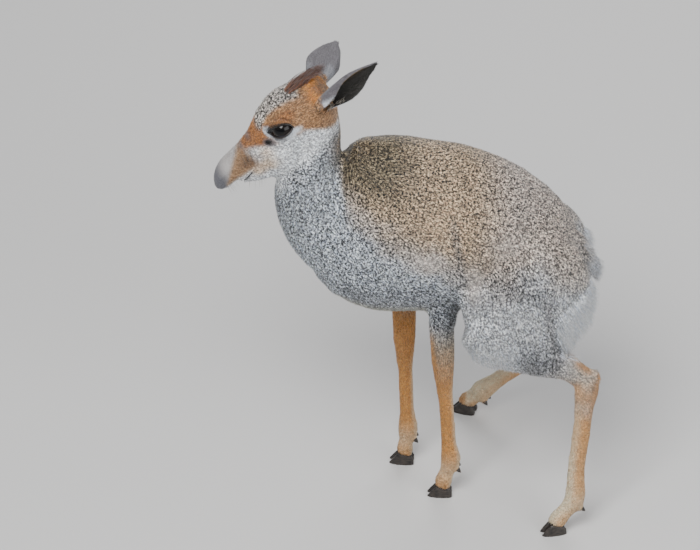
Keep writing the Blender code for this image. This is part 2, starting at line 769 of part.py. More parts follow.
def claw(collection, name, fetlock, toe, hand):
    """One half of a cloven hoof: pointed, flat under, cut off at the coronet."""
    forward = foot_direction(fetlock, toe)
    aside = Vector((-forward.y, forward.x, 0.0)) * hand
    heel = Vector(toe) - forward * CLAW_LENGTH
    half = CLAW_WIDTH / 2
    rows = []
    for share, wide, high in CLAW_OUTLINE:
        middle = heel + forward * (CLAW_LENGTH * share) + aside * (half + 0.3 - 0.5 * share)
        rows.append((*middle, half * wide, CLAW_HEIGHT * high))
    bm = bmesh.new()
    loft(bm, rows, rings=7, sides=10)
    top = coronet(fetlock, toe)
    across = coronet_normal(fetlock, toe)
    planes = ((Vector((0, 0, 0)), Vector((0, 0, -1))), (top - across * CUT / 2, across))
    for point, way in planes:
        everything = bm.verts[:] + bm.edges[:] + bm.faces[:]
        bmesh.ops.bisect_plane(
            bm, geom=everything, plane_co=point * MM, plane_no=way, clear_outer=True
        )
        bmesh.ops.holes_fill(bm, edges=[edge for edge in bm.edges if edge.is_boundary])
    made = new_object(name, mesh_of(bm, name), collection)
    made.data.materials.append(material("black_horn"))
    return made


def eye(collection, name, side):
    bm = bmesh.new()
    middle = Vector(in_head(EYE_ALONG, EYE_UP, side * EYE_ASIDE)) * MM
    turn = Matrix.Rotation(math.radians(90), 4, "Y")
    place = Matrix.Translation(middle) @ turn
    bmesh.ops.create_uvsphere(
        bm, u_segments=14, v_segments=9, radius=EYE_RADIUS * MM, matrix=place
    )
    made = new_object(name, mesh_of(bm, name), collection)
    made.data.shade_smooth()
    made.data.materials.append(material("dark_eye"))
    return made


def socket(collection, side):
    bm = bmesh.new()
    middle = Vector(in_head(EYE_ALONG, EYE_UP, side * EYE_ASIDE)) * MM
    place = Matrix.Translation(middle) @ Matrix.Rotation(math.radians(90), 4, "Y")
    reach = (EYE_RADIUS + 2 * CUT) * MM
    bmesh.ops.create_uvsphere(bm, u_segments=14, v_segments=9, radius=reach, matrix=place)
    made = new_object("socket", mesh_of(bm, "socket"), collection)
    made.hide_render = True
    made.display_type = "WIRE"
    return made


def main():
    for obj in list(bpy.data.objects):
        bpy.data.objects.remove(obj, do_unlink=True)
    animal = bpy.data.collections.new("dik_dik")
    tools = bpy.data.collections.new("cutters")
    tools.hide_render = True
    for collection in (animal, tools):
        bpy.context.scene.collection.children.link(collection)

    flesh = flesh_form(animal)
    joined = [crest_form(tools)]
    for side in (LEFT, RIGHT):
        joined.append(ear_form(tools, side))
        feet = ((FORE_FETLOCK[side], FORE_TOE[side]), (HIND_FETLOCK[side], HIND_TOE[side]))
        for fetlock, toe in feet:
            for hand in (-1, 1):
                joined.append(dewclaw_form(tools, fetlock, toe, hand))
    for other in joined:
        boolean(flesh, "UNION", other)
        bpy.data.objects.remove(other)
    bodies = [flesh.data]
    for cutter in [socket(tools, LEFT), socket(tools, RIGHT), *cuts(tools)]:
        whole = min(bodies, key=lambda mesh: distance_to(mesh, middle_of(cutter.data)))
        flesh.data = whole
        boolean(flesh, "DIFFERENCE", cutter)
        bodies.remove(whole)
        bodies += [mesh for mesh in islands(flesh.data) if volume(mesh) > CHIP]
    bpy.data.objects.remove(flesh)

    pieces = flesh_pieces()
    for mesh in bodies:
        middle = middle_of(mesh) / MM
        name = min(pieces, key=lambda word: (Vector(pieces[word][1]) - middle).length)
        colour = pieces.pop(name)[0]
        if colour:
            mesh.name = name
            mesh.shade_smooth()
            mesh.set_sharp_from_angle(angle=math.radians(50))
            mesh.materials.clear()
            mesh.materials.append(material(colour))
            new_object(name, mesh, animal)

    for side, word in ((LEFT, "left"), (RIGHT, "right")):
        eye(animal, f"{word}_eye", side)
        for word2, fetlock, toe in (
            ("fore", FORE_FETLOCK[side], FORE_TOE[side]),
            ("hind", HIND_FETLOCK[side], HIND_TOE[side]),
        ):
            for hand, word3 in ((-1, "inner"), (1, "outer")):
                claw(animal, f"{word}_{word2}_{word3}_hoof", fetlock, toe, hand * side)
    shift = Matrix.Translation(Vector((-BOX_MIDDLE[0], -BOX_MIDDLE[1], 0)) * MM)
    for obj in [*animal.objects, *tools.objects]:
        obj.data.transform(shift)


main()
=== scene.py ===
import math

import bpy
import numpy as np
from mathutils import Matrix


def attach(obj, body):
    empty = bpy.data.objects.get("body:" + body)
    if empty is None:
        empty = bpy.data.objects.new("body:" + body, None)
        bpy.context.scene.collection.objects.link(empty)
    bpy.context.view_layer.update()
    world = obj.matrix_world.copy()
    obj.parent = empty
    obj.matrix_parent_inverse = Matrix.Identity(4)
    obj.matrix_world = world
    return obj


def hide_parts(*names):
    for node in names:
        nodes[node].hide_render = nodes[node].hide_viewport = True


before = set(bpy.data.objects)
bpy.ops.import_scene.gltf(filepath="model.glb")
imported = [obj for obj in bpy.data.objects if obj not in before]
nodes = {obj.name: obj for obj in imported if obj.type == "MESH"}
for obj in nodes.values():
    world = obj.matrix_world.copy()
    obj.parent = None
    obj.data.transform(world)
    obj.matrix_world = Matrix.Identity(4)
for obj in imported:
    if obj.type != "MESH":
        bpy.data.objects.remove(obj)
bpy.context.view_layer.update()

# A life-size museum model of a dik-dik, half crouched. All sizes here are in
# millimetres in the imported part's frame, and become metres in surface().
MM = 0.001
SIDES = {"left": 1, "right": -1}

# ---------------------------------------------------------------- the hide
# The hide is one skin over head, neck, trunk, tail and legs. It is the flesh
# of the solids, joined across their thin cuts, smoothed, and let in by the
# depth of the coat that stands on it.
BRIDGE = 0.5
WEAVE = 2.7
HIDE_SMOOTHING = 14

# How the coat lies on each piece of flesh: which way it runs (aside, along,
# up), how deep it is, how long and wide a tuft is, and how steeply it rises.
DOWN = (0.0, 0.0, -1.0)
LIE = {
    "head": ((0, 0.80, 0.60), 1.5, 4.4, 0.80, 0.20),
    "muzzle": ((0, 0.73, 0.69), 0.7, 2.2, 0.55, 0.14),
    "lower_jaw": ((0, 0.98, 0.15), 1.1, 3.4, 0.70, 0.20),
    "neck": ((0, 0.30, -0.95), 2.4, 5.8, 1.15, 0.36),
    "trunk": ((0, 0.90, -0.42), 2.4, 5.6, 1.15, 0.34),
    "tail": ((0, 0.42, -0.90), 2.6, 8.0, 1.10, 0.34),
    "left_thigh": ((0, 0.46, -0.89), 2.6, 6.2, 1.15, 0.36),
    "right_thigh": ((0, 0.36, -0.93), 2.6, 6.2, 1.15, 0.36),
    "left_forearm": (DOWN, 1.3, 4.8, 0.85, 0.15),
    "right_forearm": (DOWN, 1.3, 4.8, 0.85, 0.15),
    "left_gaskin": ((-0.05, 0.83, -0.55), 1.8, 5.6, 0.90, 0.18),
    "right_gaskin": ((-0.13, 0.46, -0.88), 1.8, 5.6, 0.90, 0.18),
    "left_fore_cannon": ((0, 0.06, -1.0), 0.8, 3.4, 0.72, 0.11),
    "right_fore_cannon": ((0, 0.04, -1.0), 0.8, 3.4, 0.72, 0.11),
    "left_hind_cannon": ((0.23, -0.12, -0.96), 0.8, 3.4, 0.72, 0.11),
    "right_hind_cannon": ((-0.20, -0.69, -0.70), 0.8, 3.4, 0.72, 0.11),
    "left_fore_pastern": ((0, -0.40, -0.92), 0.8, 3.2, 0.70, 0.12),
    "right_fore_pastern": ((0, -0.35, -0.94), 0.8, 3.2, 0.70, 0.12),
    "left_hind_pastern": ((0.15, -0.55, -0.82), 0.8, 3.2, 0.70, 0.12),
    "right_hind_pastern": ((-0.15, -0.60, -0.78), 0.8, 3.2, 0.70, 0.12),
}
HIDE_NODES = list(LIE)


def node_mesh(name):
    """(points in mm, triangles) of a node whose loose corners are merged:
    corners that agree to a micrometre become one point, and triangles that
    lose a corner by it are dropped."""
    mesh = nodes[name].data
    points = np.empty(len(mesh.vertices) * 3)
    mesh.vertices.foreach_get("co", points)
    points = points.reshape(-1, 3) / MM
    mesh.calc_loop_triangles()
    faces = np.empty(len(mesh.loop_triangles) * 3, np.int32)
    mesh.loop_triangles.foreach_get("vertices", faces)
    _, first, index = np.unique(
        np.round(points, 3), axis=0, return_index=True, return_inverse=True
    )
    faces = index.reshape(-1)[faces.reshape(-1, 3)]
    whole = (faces != np.roll(faces, 1, axis=1)).all(axis=1)
    return points[first], faces[whole]


def unit(vectors):
    """Each vector divided by its own length."""
    vectors = np.asarray(vectors, float)
    return vectors / np.maximum(np.linalg.norm(vectors, axis=-1, keepdims=True), 1e-9)


def ramp(value, low, high):
    """0 below low, 1 above high, and 3t^2 - 2t^3 in between."""
    t = np.clip((value - low) / (high - low), 0, 1)
    return t * t * (3 - 2 * t)


def sums(index, values, count):
    """For each of count places, the sum of the rows of values that index sends there."""
    return np.stack([np.bincount(index, column, count) for column in values.T], axis=1)


def outward(points, faces):
    """Each point's outward way: the sum of its faces' cross products, made a unit."""
    a, b, c = (points[faces[:, k]] for k in range(3))
    cross = np.cross(b - a, c - a)
    return unit(sums(faces.ravel(), np.repeat(cross, 3, axis=0), len(points)))


def neighbours(faces, count):
    """(ends a, ends b, how many neighbours each point has) of all the edges."""
    ends = np.sort(np.concatenate([faces[:, [0, 1]], faces[:, [1, 2]], faces[:, [2, 0]]]), axis=1)
    key = np.unique(ends[:, 0].astype(np.int64) * count + ends[:, 1])
    a, b = key // count, key % count
    return a, b, np.maximum(np.bincount(a, minlength=count) + np.bincount(b, minlength=count), 1)


def spread(values, edges, passes, share=1.0):
    """Diffusion over the surface: each pass moves a value to its neighbours'
    mean, as far as share says."""
    a, b, number = edges
    for _ in range(passes):
        mean = sums(np.concatenate([a, b]), values[np.concatenate([b, a])], len(values))
        values = values + (mean / number[:, None] - values) * share
    return values


def relax(points, edges, passes, weight):
    """Taubin smoothing: half way to the neighbours' mean, then back by 0.51 of
    the way, so that facets go and thickness stays."""
    for step in range(2 * passes):
        pull = spread(points, edges, 1) - points
        points = points + pull * weight[:, None] * (0.5 if step % 2 == 0 else -0.51)
    return points


def surface(name, points, faces, smooth=True):
    """A mesh object from points in mm and faces that all have as many corners."""
    mesh = bpy.data.meshes.new(name)
    sides = faces.shape[1]
    mesh.vertices.add(len(points))
    mesh.vertices.foreach_set("co", (np.asarray(points) * MM).astype(np.float32).ravel())
    mesh.loops.add(faces.size)
    mesh.loops.foreach_set("vertex_index", faces.astype(np.int32).ravel())
    mesh.polygons.add(len(faces))
    mesh.polygons.foreach_set("loop_start", np.arange(0, faces.size, sides, dtype=np.int32))
    mesh.polygons.foreach_set("use_smooth", np.full(len(faces), smooth))
    mesh.update(calc_edges=True)
    made = bpy.data.objects.new(name, mesh)
    bpy.context.scene.collection.objects.link(made)
    return made


def voxelled(points, faces, size):
    """(points, triangles) of one closed surface round everything given, which
    Blender's voxel remesh draws on cubes of the given size."""
    rough = surface("rough", points, faces)
    cubes = rough.modifiers.new("cubes", "REMESH")
    cubes.mode = "VOXEL"
    cubes.voxel_size = size * MM
    cubes.adaptivity = 0.0
    graph = bpy.context.evaluated_depsgraph_get()
    mesh = bpy.data.meshes.new_from_object(rough.evaluated_get(graph))
    drawn = np.empty(len(mesh.vertices) * 3)
    mesh.vertices.foreach_get("co", drawn)
    mesh.calc_loop_triangles()
    corners = np.empty(len(mesh.loop_triangles) * 3, np.int32)
    mesh.loop_triangles.foreach_get("vertices", corners)
    bpy.data.objects.remove(rough)
    bpy.data.meshes.remove(mesh)
    return drawn.reshape(-1, 3) / MM, corners.reshape(-1, 3)


def finer(points, faces, inside):
    """Every edge whose two ends are inside is halved, and each triangle becomes
    one more than the number of its halved edges. Returns (points, triangles,
    the two old points that each point is the mean of)."""
    count = len(points)
    ends = np.sort(faces[:, [[0, 1], [1, 2], [2, 0]]], axis=2).astype(np.int64)
    key, index = np.unique(ends[..., 0] * count + ends[..., 1], return_inverse=True)
    a, b = key // count, key % count
    halved = inside[a] & inside[b]
    number = np.where(halved, np.cumsum(halved) - 1 + count, -1)
    middle = number[index.reshape(-1, 3)]
    cuts = (middle >= 0).sum(axis=1)
    made = [faces[cuts == 0]]
    turn = np.where(cuts == 1, np.argmax(middle >= 0, axis=1), 0)
    turn = np.where(cuts == 2, np.argmax(middle < 0, axis=1) + 1, turn)
    order = (np.arange(3) + turn[:, None]) % 3
    v0, v1, v2 = np.take_along_axis(faces, order, 1).T
    m0, m1, m2 = np.take_along_axis(middle, order, 1).T
    patterns = {
        1: ((v0, m0, v2), (m0, v1, v2)),
        2: ((m0, v1, m1), (v0, m0, m1), (v0, m1, v2)),
        3: ((v0, m0, m2), (v1, m1, m0), (v2, m2, m1), (m0, m1, m2)),
    }
    for sort, triangles in patterns.items():
        made += [np.stack(corners, axis=1)[cuts == sort] for corners in triangles]
    parents = np.concatenate([np.tile(np.arange(count)[:, None], (1, 2)), np.stack([a, b], 1)[halved]])
    return points[parents].mean(axis=1), np.concatenate(made), parents


def nearest(points, others, block=4000):
    """For each point, the number of the nearest of the others."""
    square = (others**2).sum(axis=1)
    found = [
        np.argmin(square - 2 * part @ others.T, axis=1)
        for part in np.array_split(points, max(1, len(points) // block))
    ]
    return np.concatenate(found)


# The head's own frame: along the skull from the poll to the nose, up from its
# axis, and aside to the animal's left.
POLL = np.array([14.46, -85.66, 454.5])
PITCH = math.radians(43.5)
SKULL = np.array([[0, -math.cos(PITCH), -math.sin(PITCH)], [0, -math.sin(PITCH), math.cos(PITCH)], [1, 0, 0]])


def in_head(along, up, aside=0.0):
    """The point poll + along * skull's way + up * its upward way + aside * X."""
    return POLL + np.stack(np.broadcast_arrays(along, up, aside), axis=-1) @ SKULL


def head_sizes(points):
    """(along, up, aside) of each point in the head's frame."""
    return ((points - POLL) @ SKULL.T).T


flesh_points, flesh_faces, flesh_names, start = [], [], [], 0
for number, name in enumerate(HIDE_NODES):
    points, faces = node_mesh(name)
    flesh_points.append(points + outward(points, faces) * BRIDGE)
    flesh_faces.append(faces + start)
    flesh_names.append(np.full(len(points), number))
    start += len(points)
for side in SIDES:
    points, faces = node_mesh(f"{side}_eye")
    flesh_points.append(points)
    flesh_faces.append(faces + start)
    start += len(points)
flesh_cloud = np.concatenate(flesh_points[: len(HIDE_NODES)])
flesh_names = np.concatenate(flesh_names)

hide, hide_faces = voxelled(np.concatenate(flesh_points), np.concatenate(flesh_faces), WEAVE)
edges = neighbours(hide_faces, len(hide))
along, up, aside = head_sizes(hide)
on_face = ramp(along, -5, 15) * ramp(hide[:, 2], 350, 375)
on_legs = 1 - ramp(hide[:, 2], 175, 215)
hide = relax(hide, edges, HIDE_SMOOTHING, 1 - 0.5 * on_face - 0.3 * on_legs)

# The tail is pressed close to the rump.
near_tail = (1 - ramp(np.abs(hide[:, 0] - 14.46), 12, 19)) * ramp(hide[:, 2], 238, 252)
hide[:, 1] -= 5.5 * near_tail * ramp(hide[:, 1], 163, 186)

# What the coat does at each point of the hide, mixed over the joins.
closest = flesh_names[nearest(hide, flesh_cloud)]
lie = np.array([[*unit(LIE[name][0]), *LIE[name][1:]] for name in HIDE_NODES])[closest]
lie = spread(lie, edges, 40)
hide = hide - outward(hide, hide_faces) * lie[:, 3:4]

# The face is drawn four times as finely, and the lids and lips finer still.
along, up, aside = head_sizes(hide)
inside = (along > -6) & (hide[:, 2] > 345)
hide, hide_faces, parents = finer(hide, hide_faces, inside)
lie = lie[parents].mean(axis=1)
edges = neighbours(hide_faces, len(hide))
along, up, aside = head_sizes(hide)
hide = relax(hide, edges, 4, ramp(along, -8, 0) * ramp(hide[:, 2], 343, 350))

# The lids. An eye's frame is the way out of the head through its middle, the
# way to its inner corner, and the way to its brow.
EYE_RADIUS = 12.0
EYE_OUT = (0.95, -0.27, 0.16)
EYE_INWARD = (0.0, -0.945, -0.327)
LID = 1.0
OPENING = {"inner": 13.6, "outer": 12.4, "upper": 6.9, "lower": 6.4}


def eye_frame(side):
    """(middle, rows: to the inner corner, to the brow, out) of one eye."""
    sign = SIDES[side]
    middle = in_head(39.0, 14.5, 19.8 * sign)
    out = unit(np.array(EYE_OUT) * (sign, 1, 1))
    inner = np.array(EYE_INWARD)
    inner = unit(inner - out * out.dot(inner))
    brow = np.cross(inner, out) * sign
    return middle, np.stack([inner, brow, out])


def opening_half(a, upper):
    """Half the height of the almond at a along it: the height times
    (1 - (a / length)^2) to the power 0.62."""
    length = np.where(a > 0, OPENING["inner"], OPENING["outer"])
    height = np.where(upper, OPENING["upper"], OPENING["lower"])
    return height * np.clip(1 - (a / length) ** 2, 0, 1) ** 0.62


def past_lid(a, b):
    """About how far (a, b) lies outside the almond; below 0 inside it."""
    length = np.where(a > 0, OPENING["inner"], OPENING["outer"])
    beyond = np.maximum(np.abs(a) - length, 0)
    return np.hypot(np.abs(b) - opening_half(a, b > 0), beyond) * np.where(
        (np.abs(b) < opening_half(a, b > 0)) & (beyond == 0), -1, 1
    )


def over_eye(distance, reach):
    """Height of a ball of radius reach at a distance from its axis, or 0."""
    return np.sqrt(np.maximum(reach**2 - distance**2, 0))


def mouth_line(along, up):
    """(how far along the lips, how far above them) from the mouth's corner."""
    way = unit(np.array([18.0, -5.0]))
    da, du = along - 102.0, up + 7.5
    return da * way[0] + du * way[1], -da * way[1] + du * way[0]


along, up, aside = head_sizes(hide)
close = np.zeros(len(hide), bool)
for side, sign in SIDES.items():
    middle, turn = eye_frame(side)
    a, b, h = ((hide - middle) @ turn.T).T
    close |= (np.hypot(a, b * 1.3) < 19) & (h > 0)
reach, above = mouth_line(along, up)
close |= (reach > -6) & (np.abs(above) < 5)
close |= (along > 122) & (np.abs(aside) < 12) & (np.abs(up) < 9)
hide, hide_faces, parents = finer(hide, hide_faces, close)
lie = lie[parents].mean(axis=1)
edges = neighbours(hide_faces, len(hide))
along, up, aside = head_sizes(hide)
hide = relax(hide, edges, 2, ramp(along, 0, 8) * ramp(hide[:, 2], 350, 358))

# Each lid rises over the ball of the eye and ends in the opening's edge; the
# skin inside the opening passes behind the ball.
lid_edge = {}
angle = np.linspace(0, 2 * math.pi, 96, endpoint=False)
for side in SIDES:
    middle, turn = eye_frame(side)
    a, b, h = ((hide - middle) @ turn.T).T
    distance = np.hypot(a, b)
    near_eye = (distance < 24) & (h > 0)
    away = past_lid(a, b)
    lid = over_eye(distance, EYE_RADIUS + LID)
    raised = np.where(h > lid, h + (lid - h) * (1 - ramp(distance, 9.5, 14)) * 0.8, lid)
    # A crease runs a little above the upper lid, and a softer one below.
    crease = -0.9 * np.exp(-(((away - 3.6) / 1.1) ** 2)) * ramp(b, -1, 3)
    crease -= 0.5 * np.exp(-(((away - 4.2) / 1.3) ** 2)) * ramp(-b, 0, 4)
    fade = 1 - ramp(distance, 17, 23)
    outside = h + (raised - h) * fade + crease * fade
    behind = np.maximum(over_eye(distance, EYE_RADIUS - 0.9), np.minimum(raised, 9.5) - 2.6)
    share = ramp(away, -0.9, 0.1)
    target = behind + (outside - behind) * share
    hide = hide + turn[2] * np.where(near_eye, target - h, 0)[:, None]

    # Where the margin of the lids runs, for the rim that finishes them.
    edge_a = np.where(np.cos(angle) > 0, OPENING["inner"], OPENING["outer"]) * np.cos(angle)
    edge_b = opening_half(edge_a, np.sin(angle) > 0) * np.sign(np.sin(angle))
    flat = np.where((near_eye & (away > 0.3) & (away < 3))[:, None], np.stack([a, b], 1), 1e4)
    source = nearest(np.stack([edge_a, edge_b], 1), flat)
    height = target[source]
    for _ in range(3):
        height = (np.roll(height, 1) + 2 * height + np.roll(height, -1)) / 4
    lid_edge[side] = np.stack([edge_a, edge_b, height], axis=1)

# Lips, nostrils and the folds of the soft nose are let into the hide.
along, up, aside = head_sizes(hide)
ways = outward(hide, hide_faces)
reach, above = mouth_line(along, up)
on_lips = ramp(reach, -3, 3) * (1 - ramp(reach, 17, 23))
depth = 2.2 * np.exp(-((above / 0.95) ** 2))
depth -= 0.8 * np.exp(-(((above - 2.1) / 1.3) ** 2)) + 0.5 * np.exp(-(((above + 2.2) / 1.5) ** 2))
carve = on_lips * depth
NOSTRIL = ((141.0, -2.2, 3.2), (137.5, 2.2, 5.6), (133.5, 4.2, 7.6))


def from_line(points, line):
    """Each point's least distance from a broken line."""
    least = np.full(len(points), 1e9)
    for start, end in zip(line[:-1], line[1:]):
        start, way = np.array(start), np.array(end) - np.array(start)
        share = np.clip((points - start) @ way / way.dot(way), 0, 1)
        least = np.minimum(least, np.linalg.norm(points - start - share[:, None] * way, axis=1))
    return least


both_sides = np.stack([along, up, np.abs(aside)], axis=1)
from_nostril = from_line(both_sides, NOSTRIL)
carve += 3.4 * np.exp(-((from_nostril / 1.25) ** 2)) * (along > 125)
carve -= 0.7 * np.exp(-(((from_nostril - 2.6) / 0.9) ** 2)) * (along > 125)
folds = np.sin(along * 2 * math.pi / 4.1 + 0.06 * up**2 + aside * 0.2)
carve += 0.16 * folds * ramp(along, 88, 100) * (1 - ramp(along, 131, 138)) * ramp(up, 0, 8)
# The gland in front of the eye is a small pit.
GLAND = (62.5, 11.0)
from_gland = np.hypot((along - GLAND[0]) / 1.3, up - GLAND[1])
carve += 1.7 * np.exp(-((from_gland / 2.6) ** 2)) * (np.abs(aside) > 8)
creases = np.sin((along + 0.35 * (up - 8)) * 2 * math.pi / 5.2)
carve += 0.7 * creases * np.exp(-(((along - 93) / 11) ** 2) - ((up - 9) / 8) ** 2)
# The forehead is a little domed with long hair.
carve -= 2.4 * np.exp(-(((along - 38) / 22) ** 2)) * ramp(up, 16, 27)
hide = hide - ways * carve[:, None]

# The ears are thin leaves, rolled into a tube at the root. Each row across the
# leaf is an arc whose half length is the leaf's half width there.
EAR_TIP = {"left": (45.76, -32.06, 522.0), "right": (-77.6, -70.46, 466.6)}
EAR_OPENING = {"left": (0.67, -0.07, -0.81), "right": (-0.05, -0.27, -0.96)}
EAR_HALF = ((0, 17.8), (0.18, 20.3), (0.4, 25.3), (0.6, 21.6), (0.78, 13.0), (0.9, 8.5), (1, 1.2))
EAR_TURN = ((0, 2.5), (0.15, 2.35), (0.4, 1.8), (0.7, 0.85), (1, 0.7))
EAR_THICK = 0.95
EAR_BOW = 2.7
EAR_SWEEP = 3.8
EAR_ROWS, EAR_COLUMNS = 64, 44


def eased(share, table, width=0.05):
    """The table's straight-line value at each share, averaged over a width."""
    near = share[..., None] + np.linspace(-width, width, 9)
    near = np.where(near > 1, 2 - near, np.abs(near))
    return np.interp(near, *zip(*table)).mean(axis=-1)


def ear_frame(side):
    """(root, way to the tip, way of its back, way across, length) of an ear."""
    root = in_head(-7.0, 12.0, 19.0 * SIDES[side])
    tip = np.array(EAR_TIP[side])
    axis = unit(tip - root)
    back = -unit(EAR_OPENING[side])
    back = unit(back - axis * back.dot(axis))
    return root, axis, back, np.cross(axis, back), np.linalg.norm(tip - root)


def ear_leaf(side, share, turn_share, lift):
    """Points of the leaf at a share of its length and of its half turn across,
    lifted off its middle surface: root + axis * share * length + a bow, less
    radius * (1 - cos angle) along its back, and radius * sin angle across."""
    root, axis, back, across, length = ear_frame(side)
    turn = eased(share, EAR_TURN)
    radius = eased(share, EAR_HALF) / turn
    angle = turn * turn_share
    # Two soft folds run up the cup, and the rim waves a little.
    fold = 0.55 * np.cos(turn_share * 3.2 * math.pi) * np.sin(math.pi * np.clip(share, 0, 1))
    fold = fold + 0.35 * np.sin(share * 23 + 1.3) * np.abs(turn_share) ** 6
    reach = radius + lift + fold
    bow = EAR_BOW * np.sin(math.pi * share)
    out = bow - radius + reach * np.cos(angle)
    swept = SIDES[side] * EAR_SWEEP * np.sin(math.pi * share)
    points = root + axis * (share * length)[..., None] + back * out[..., None]
    return points + across * (reach * np.sin(angle) + swept)[..., None]


def ear_shell(side):
    """The leaf's back and its inside, EAR_THICK apart, drawn together along
    the rim and closed at the root: one closed surface."""
    share = np.linspace(0, 1, EAR_ROWS)[:, None]
    across = np.linspace(-1, 1, EAR_COLUMNS)[None]
    thick = EAR_THICK * (0.35 + 0.65 * (1 - np.abs(across) ** 8)) * (1 - 0.5 * share**6)
    share, across = np.broadcast_arrays(share, across)
    outer = ear_leaf(side, share, across, thick / 2)
    inner = ear_leaf(side, share, across, -thick / 2)
    ring = np.concatenate([outer, inner[:, ::-1]], axis=1)
    count = ring.shape[1]
    number = np.arange(EAR_ROWS * count).reshape(EAR_ROWS, count)
    low, high = number[:-1], number[1:]
    a, b, c, d = low, np.roll(low, -1, 1), np.roll(high, -1, 1), high
    triangles = [np.stack([a, b, c], -1).reshape(-1, 3), np.stack([a, c, d], -1).reshape(-1, 3)]
    for row, flip in ((number[0], True), (number[-1], False)):
        half = count // 2
        p, q = row[:half], row[half:][::-1]
        cap = [np.stack([p[:-1], p[1:], q[1:]], -1), np.stack([p[:-1], q[1:], q[:-1]], -1)]
        triangles += [part[:, ::-1] if not flip else part for part in cap]
    faces = np.concatenate(triangles)
    points = ring.reshape(-1, 3)
    volume = np.einsum("ij,ij->i", points[faces[:, 0]], np.cross(points[faces[:, 1]], points[faces[:, 2]])).sum()
    return points, faces if volume > 0 else faces[:, ::-1]


hide_count = len(hide)
parts, part_faces, start = [hide], [hide_faces], hide_count
ear_number = [np.zeros(hide_count, int)]
for side in SIDES:
    points, faces = ear_shell(side)
    parts.append(points)
    part_faces.append(faces + start)
    ear_number.append(np.full(len(points), SIDES[side]))
    start += len(points)
skin_points, skin_faces = np.concatenate(parts), np.concatenate(part_faces)
ear_number = np.concatenate(ear_number)
skin_ways = outward(skin_points, skin_faces)
skin = surface("hide", skin_points, skin_faces)
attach(skin, "root")
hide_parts(*HIDE_NODES, "left_ear", "right_ear")

# ------------------------------------------------------------ the markings and painted shade
# Every hair is banded, so the coat looks like salt and pepper: a place's
# colouring is its light, middle and dark hair, and the share of the light and
# of the dark. Colours are given as a screen shows them, 0 to 255.


def tint(red, green, blue):
    """A screen colour as linear light: ((c + 0.055) / 1.055) to the power 2.4."""
    shown = np.array([red, green, blue]) / 255
    return np.where(shown > 0.04045, ((shown + 0.055) / 1.055) ** 2.4, shown / 12.92)


def colouring(light, middle, dark, light_share, dark_share):
    """One row: three colours and two shares."""
    return np.array([*tint(*light), *tint(*middle), *tint(*dark), light_share, dark_share])


SADDLE = colouring((238, 212, 177), (170, 142, 115), (50, 38, 33), 0.46, 0.35)
WITHERS = colouring((165, 151, 121), (86, 74, 56), (25, 20, 18), 0.34, 0.44)
RUMP_BROWN = colouring((253, 238, 224), (198, 176, 164), (68, 58, 58), 0.48, 0.33)
WARM = colouring((255, 230, 193), (221, 176, 138), (85, 60, 47), 0.48, 0.28)
PALE = colouring((255, 245, 235), (225, 208, 198), (112, 99, 97), 0.50, 0.18)
GREY = colouring((243, 249, 255), (174, 186, 206), (38, 43, 54), 0.52, 0.33)
CHEEK = colouring((255, 255, 255), (216, 222, 230), (76, 78, 84), 0.50, 0.21)
BUFF = colouring((248, 228, 205), (208, 180, 155), (86, 66, 56), 0.44, 0.20)
THIGH = colouring((255, 255, 255), (222, 230, 246), (58, 65, 80), 0.58, 0.27)
THIGH_DARK = colouring((214, 212, 212), (124, 122, 126), (38, 38, 44), 0.36, 0.38)
# This colouring is no colour of the hair: it is painted shade, laid under the chest, jaw and throat, in the fold before
# the thigh and low on the thighs.
PAINTED_SHADE = colouring((190, 192, 196), (110, 112, 118), (32, 33, 38), 0.34, 0.42)
SHADED_BELLY = colouring((214, 212, 196), (174, 172, 156), (104, 102, 92), 0.38, 0.20)
WHITE = colouring((250, 253, 255), (236, 243, 255), (168, 182, 206), 0.56, 0.13)
RUFOUS = colouring((208, 146, 90), (148, 95, 52), (70, 42, 27), 0.34, 0.24)
BROWN_FACE = colouring((228, 180, 130), (146, 102, 66), (60, 42, 32), 0.34, 0.27)
ORANGE = colouring((255, 186, 98), (218, 132, 54), (118, 68, 34), 0.36, 0.19)
FOREHEAD = colouring((236, 228, 220), (98, 88, 82), (26, 22, 22), 0.42, 0.40)
NOSE_TAN = colouring((204, 170, 132), (160, 122, 88), (92, 62, 42), 0.34, 0.20)
NOSE_DARK = colouring((145, 116, 93), (103, 78, 61), (55, 40, 32), 0.28, 0.20)
BARE = colouring((208, 204, 202), (184, 179, 177), (140, 134, 133), 0.30, 0.10)
BARE_DARK = colouring((131, 131, 137), (103, 103, 110), (74, 74, 82), 0.30, 0.12)
BLACK = colouring((40, 36, 36), (20, 17, 17), (10, 9, 9), 0.10, 0.30)
LEG = colouring((238, 181, 103), (205, 136, 59), (151, 93, 35), 0.36, 0.12)
LEG_PALE = colouring((255, 246, 222), (254, 226, 184), (212, 166, 116), 0.44, 0.08)
CRUS = colouring((247, 236, 220), (196, 176, 158), (88, 74, 66), 0.44, 0.20)
FOREARM = colouring((238, 222, 198), (164, 146, 124), (66, 54, 46), 0.40, 0.24)
EAR_BACK = colouring((136, 132, 136), (109, 105, 111), (74, 70, 76), 0.28, 0.13)
EAR_CUP = colouring((67, 64, 59), (37, 35, 32), (18, 18, 16), 0.20, 0.14)
OCHRE = colouring((150, 118, 64), (112, 84, 40), (64, 46, 24), 0.34, 0.24)


def towards(rows, weight, row):
    """The rows moved towards one row, as far as the weight says at each point."""
    return rows + (row - rows) * np.clip(weight, 0, 1)[:, None]


def ripple(points, size, seed):
    """A soft wandering value from about -1 to 1: eight sine waves of about that
    length, in directions and phases drawn from the seed."""
    draw = np.random.default_rng(seed)
    ways = unit(draw.normal(size=(8, 3))) * (2 * math.pi / (size * draw.uniform(0.7, 1.5, (8, 1))))
    return np.sin(points @ ways.T + draw.uniform(0, 2 * math.pi, 8)).mean(axis=1) * 2.2


def named(*words):
    """1 at the skin's points whose flesh has one of the words in its name."""
    chosen = [any(word in name for word in words) for name in HIDE_NODES]
    return np.array([*chosen, False])[skin_names].astype(float)


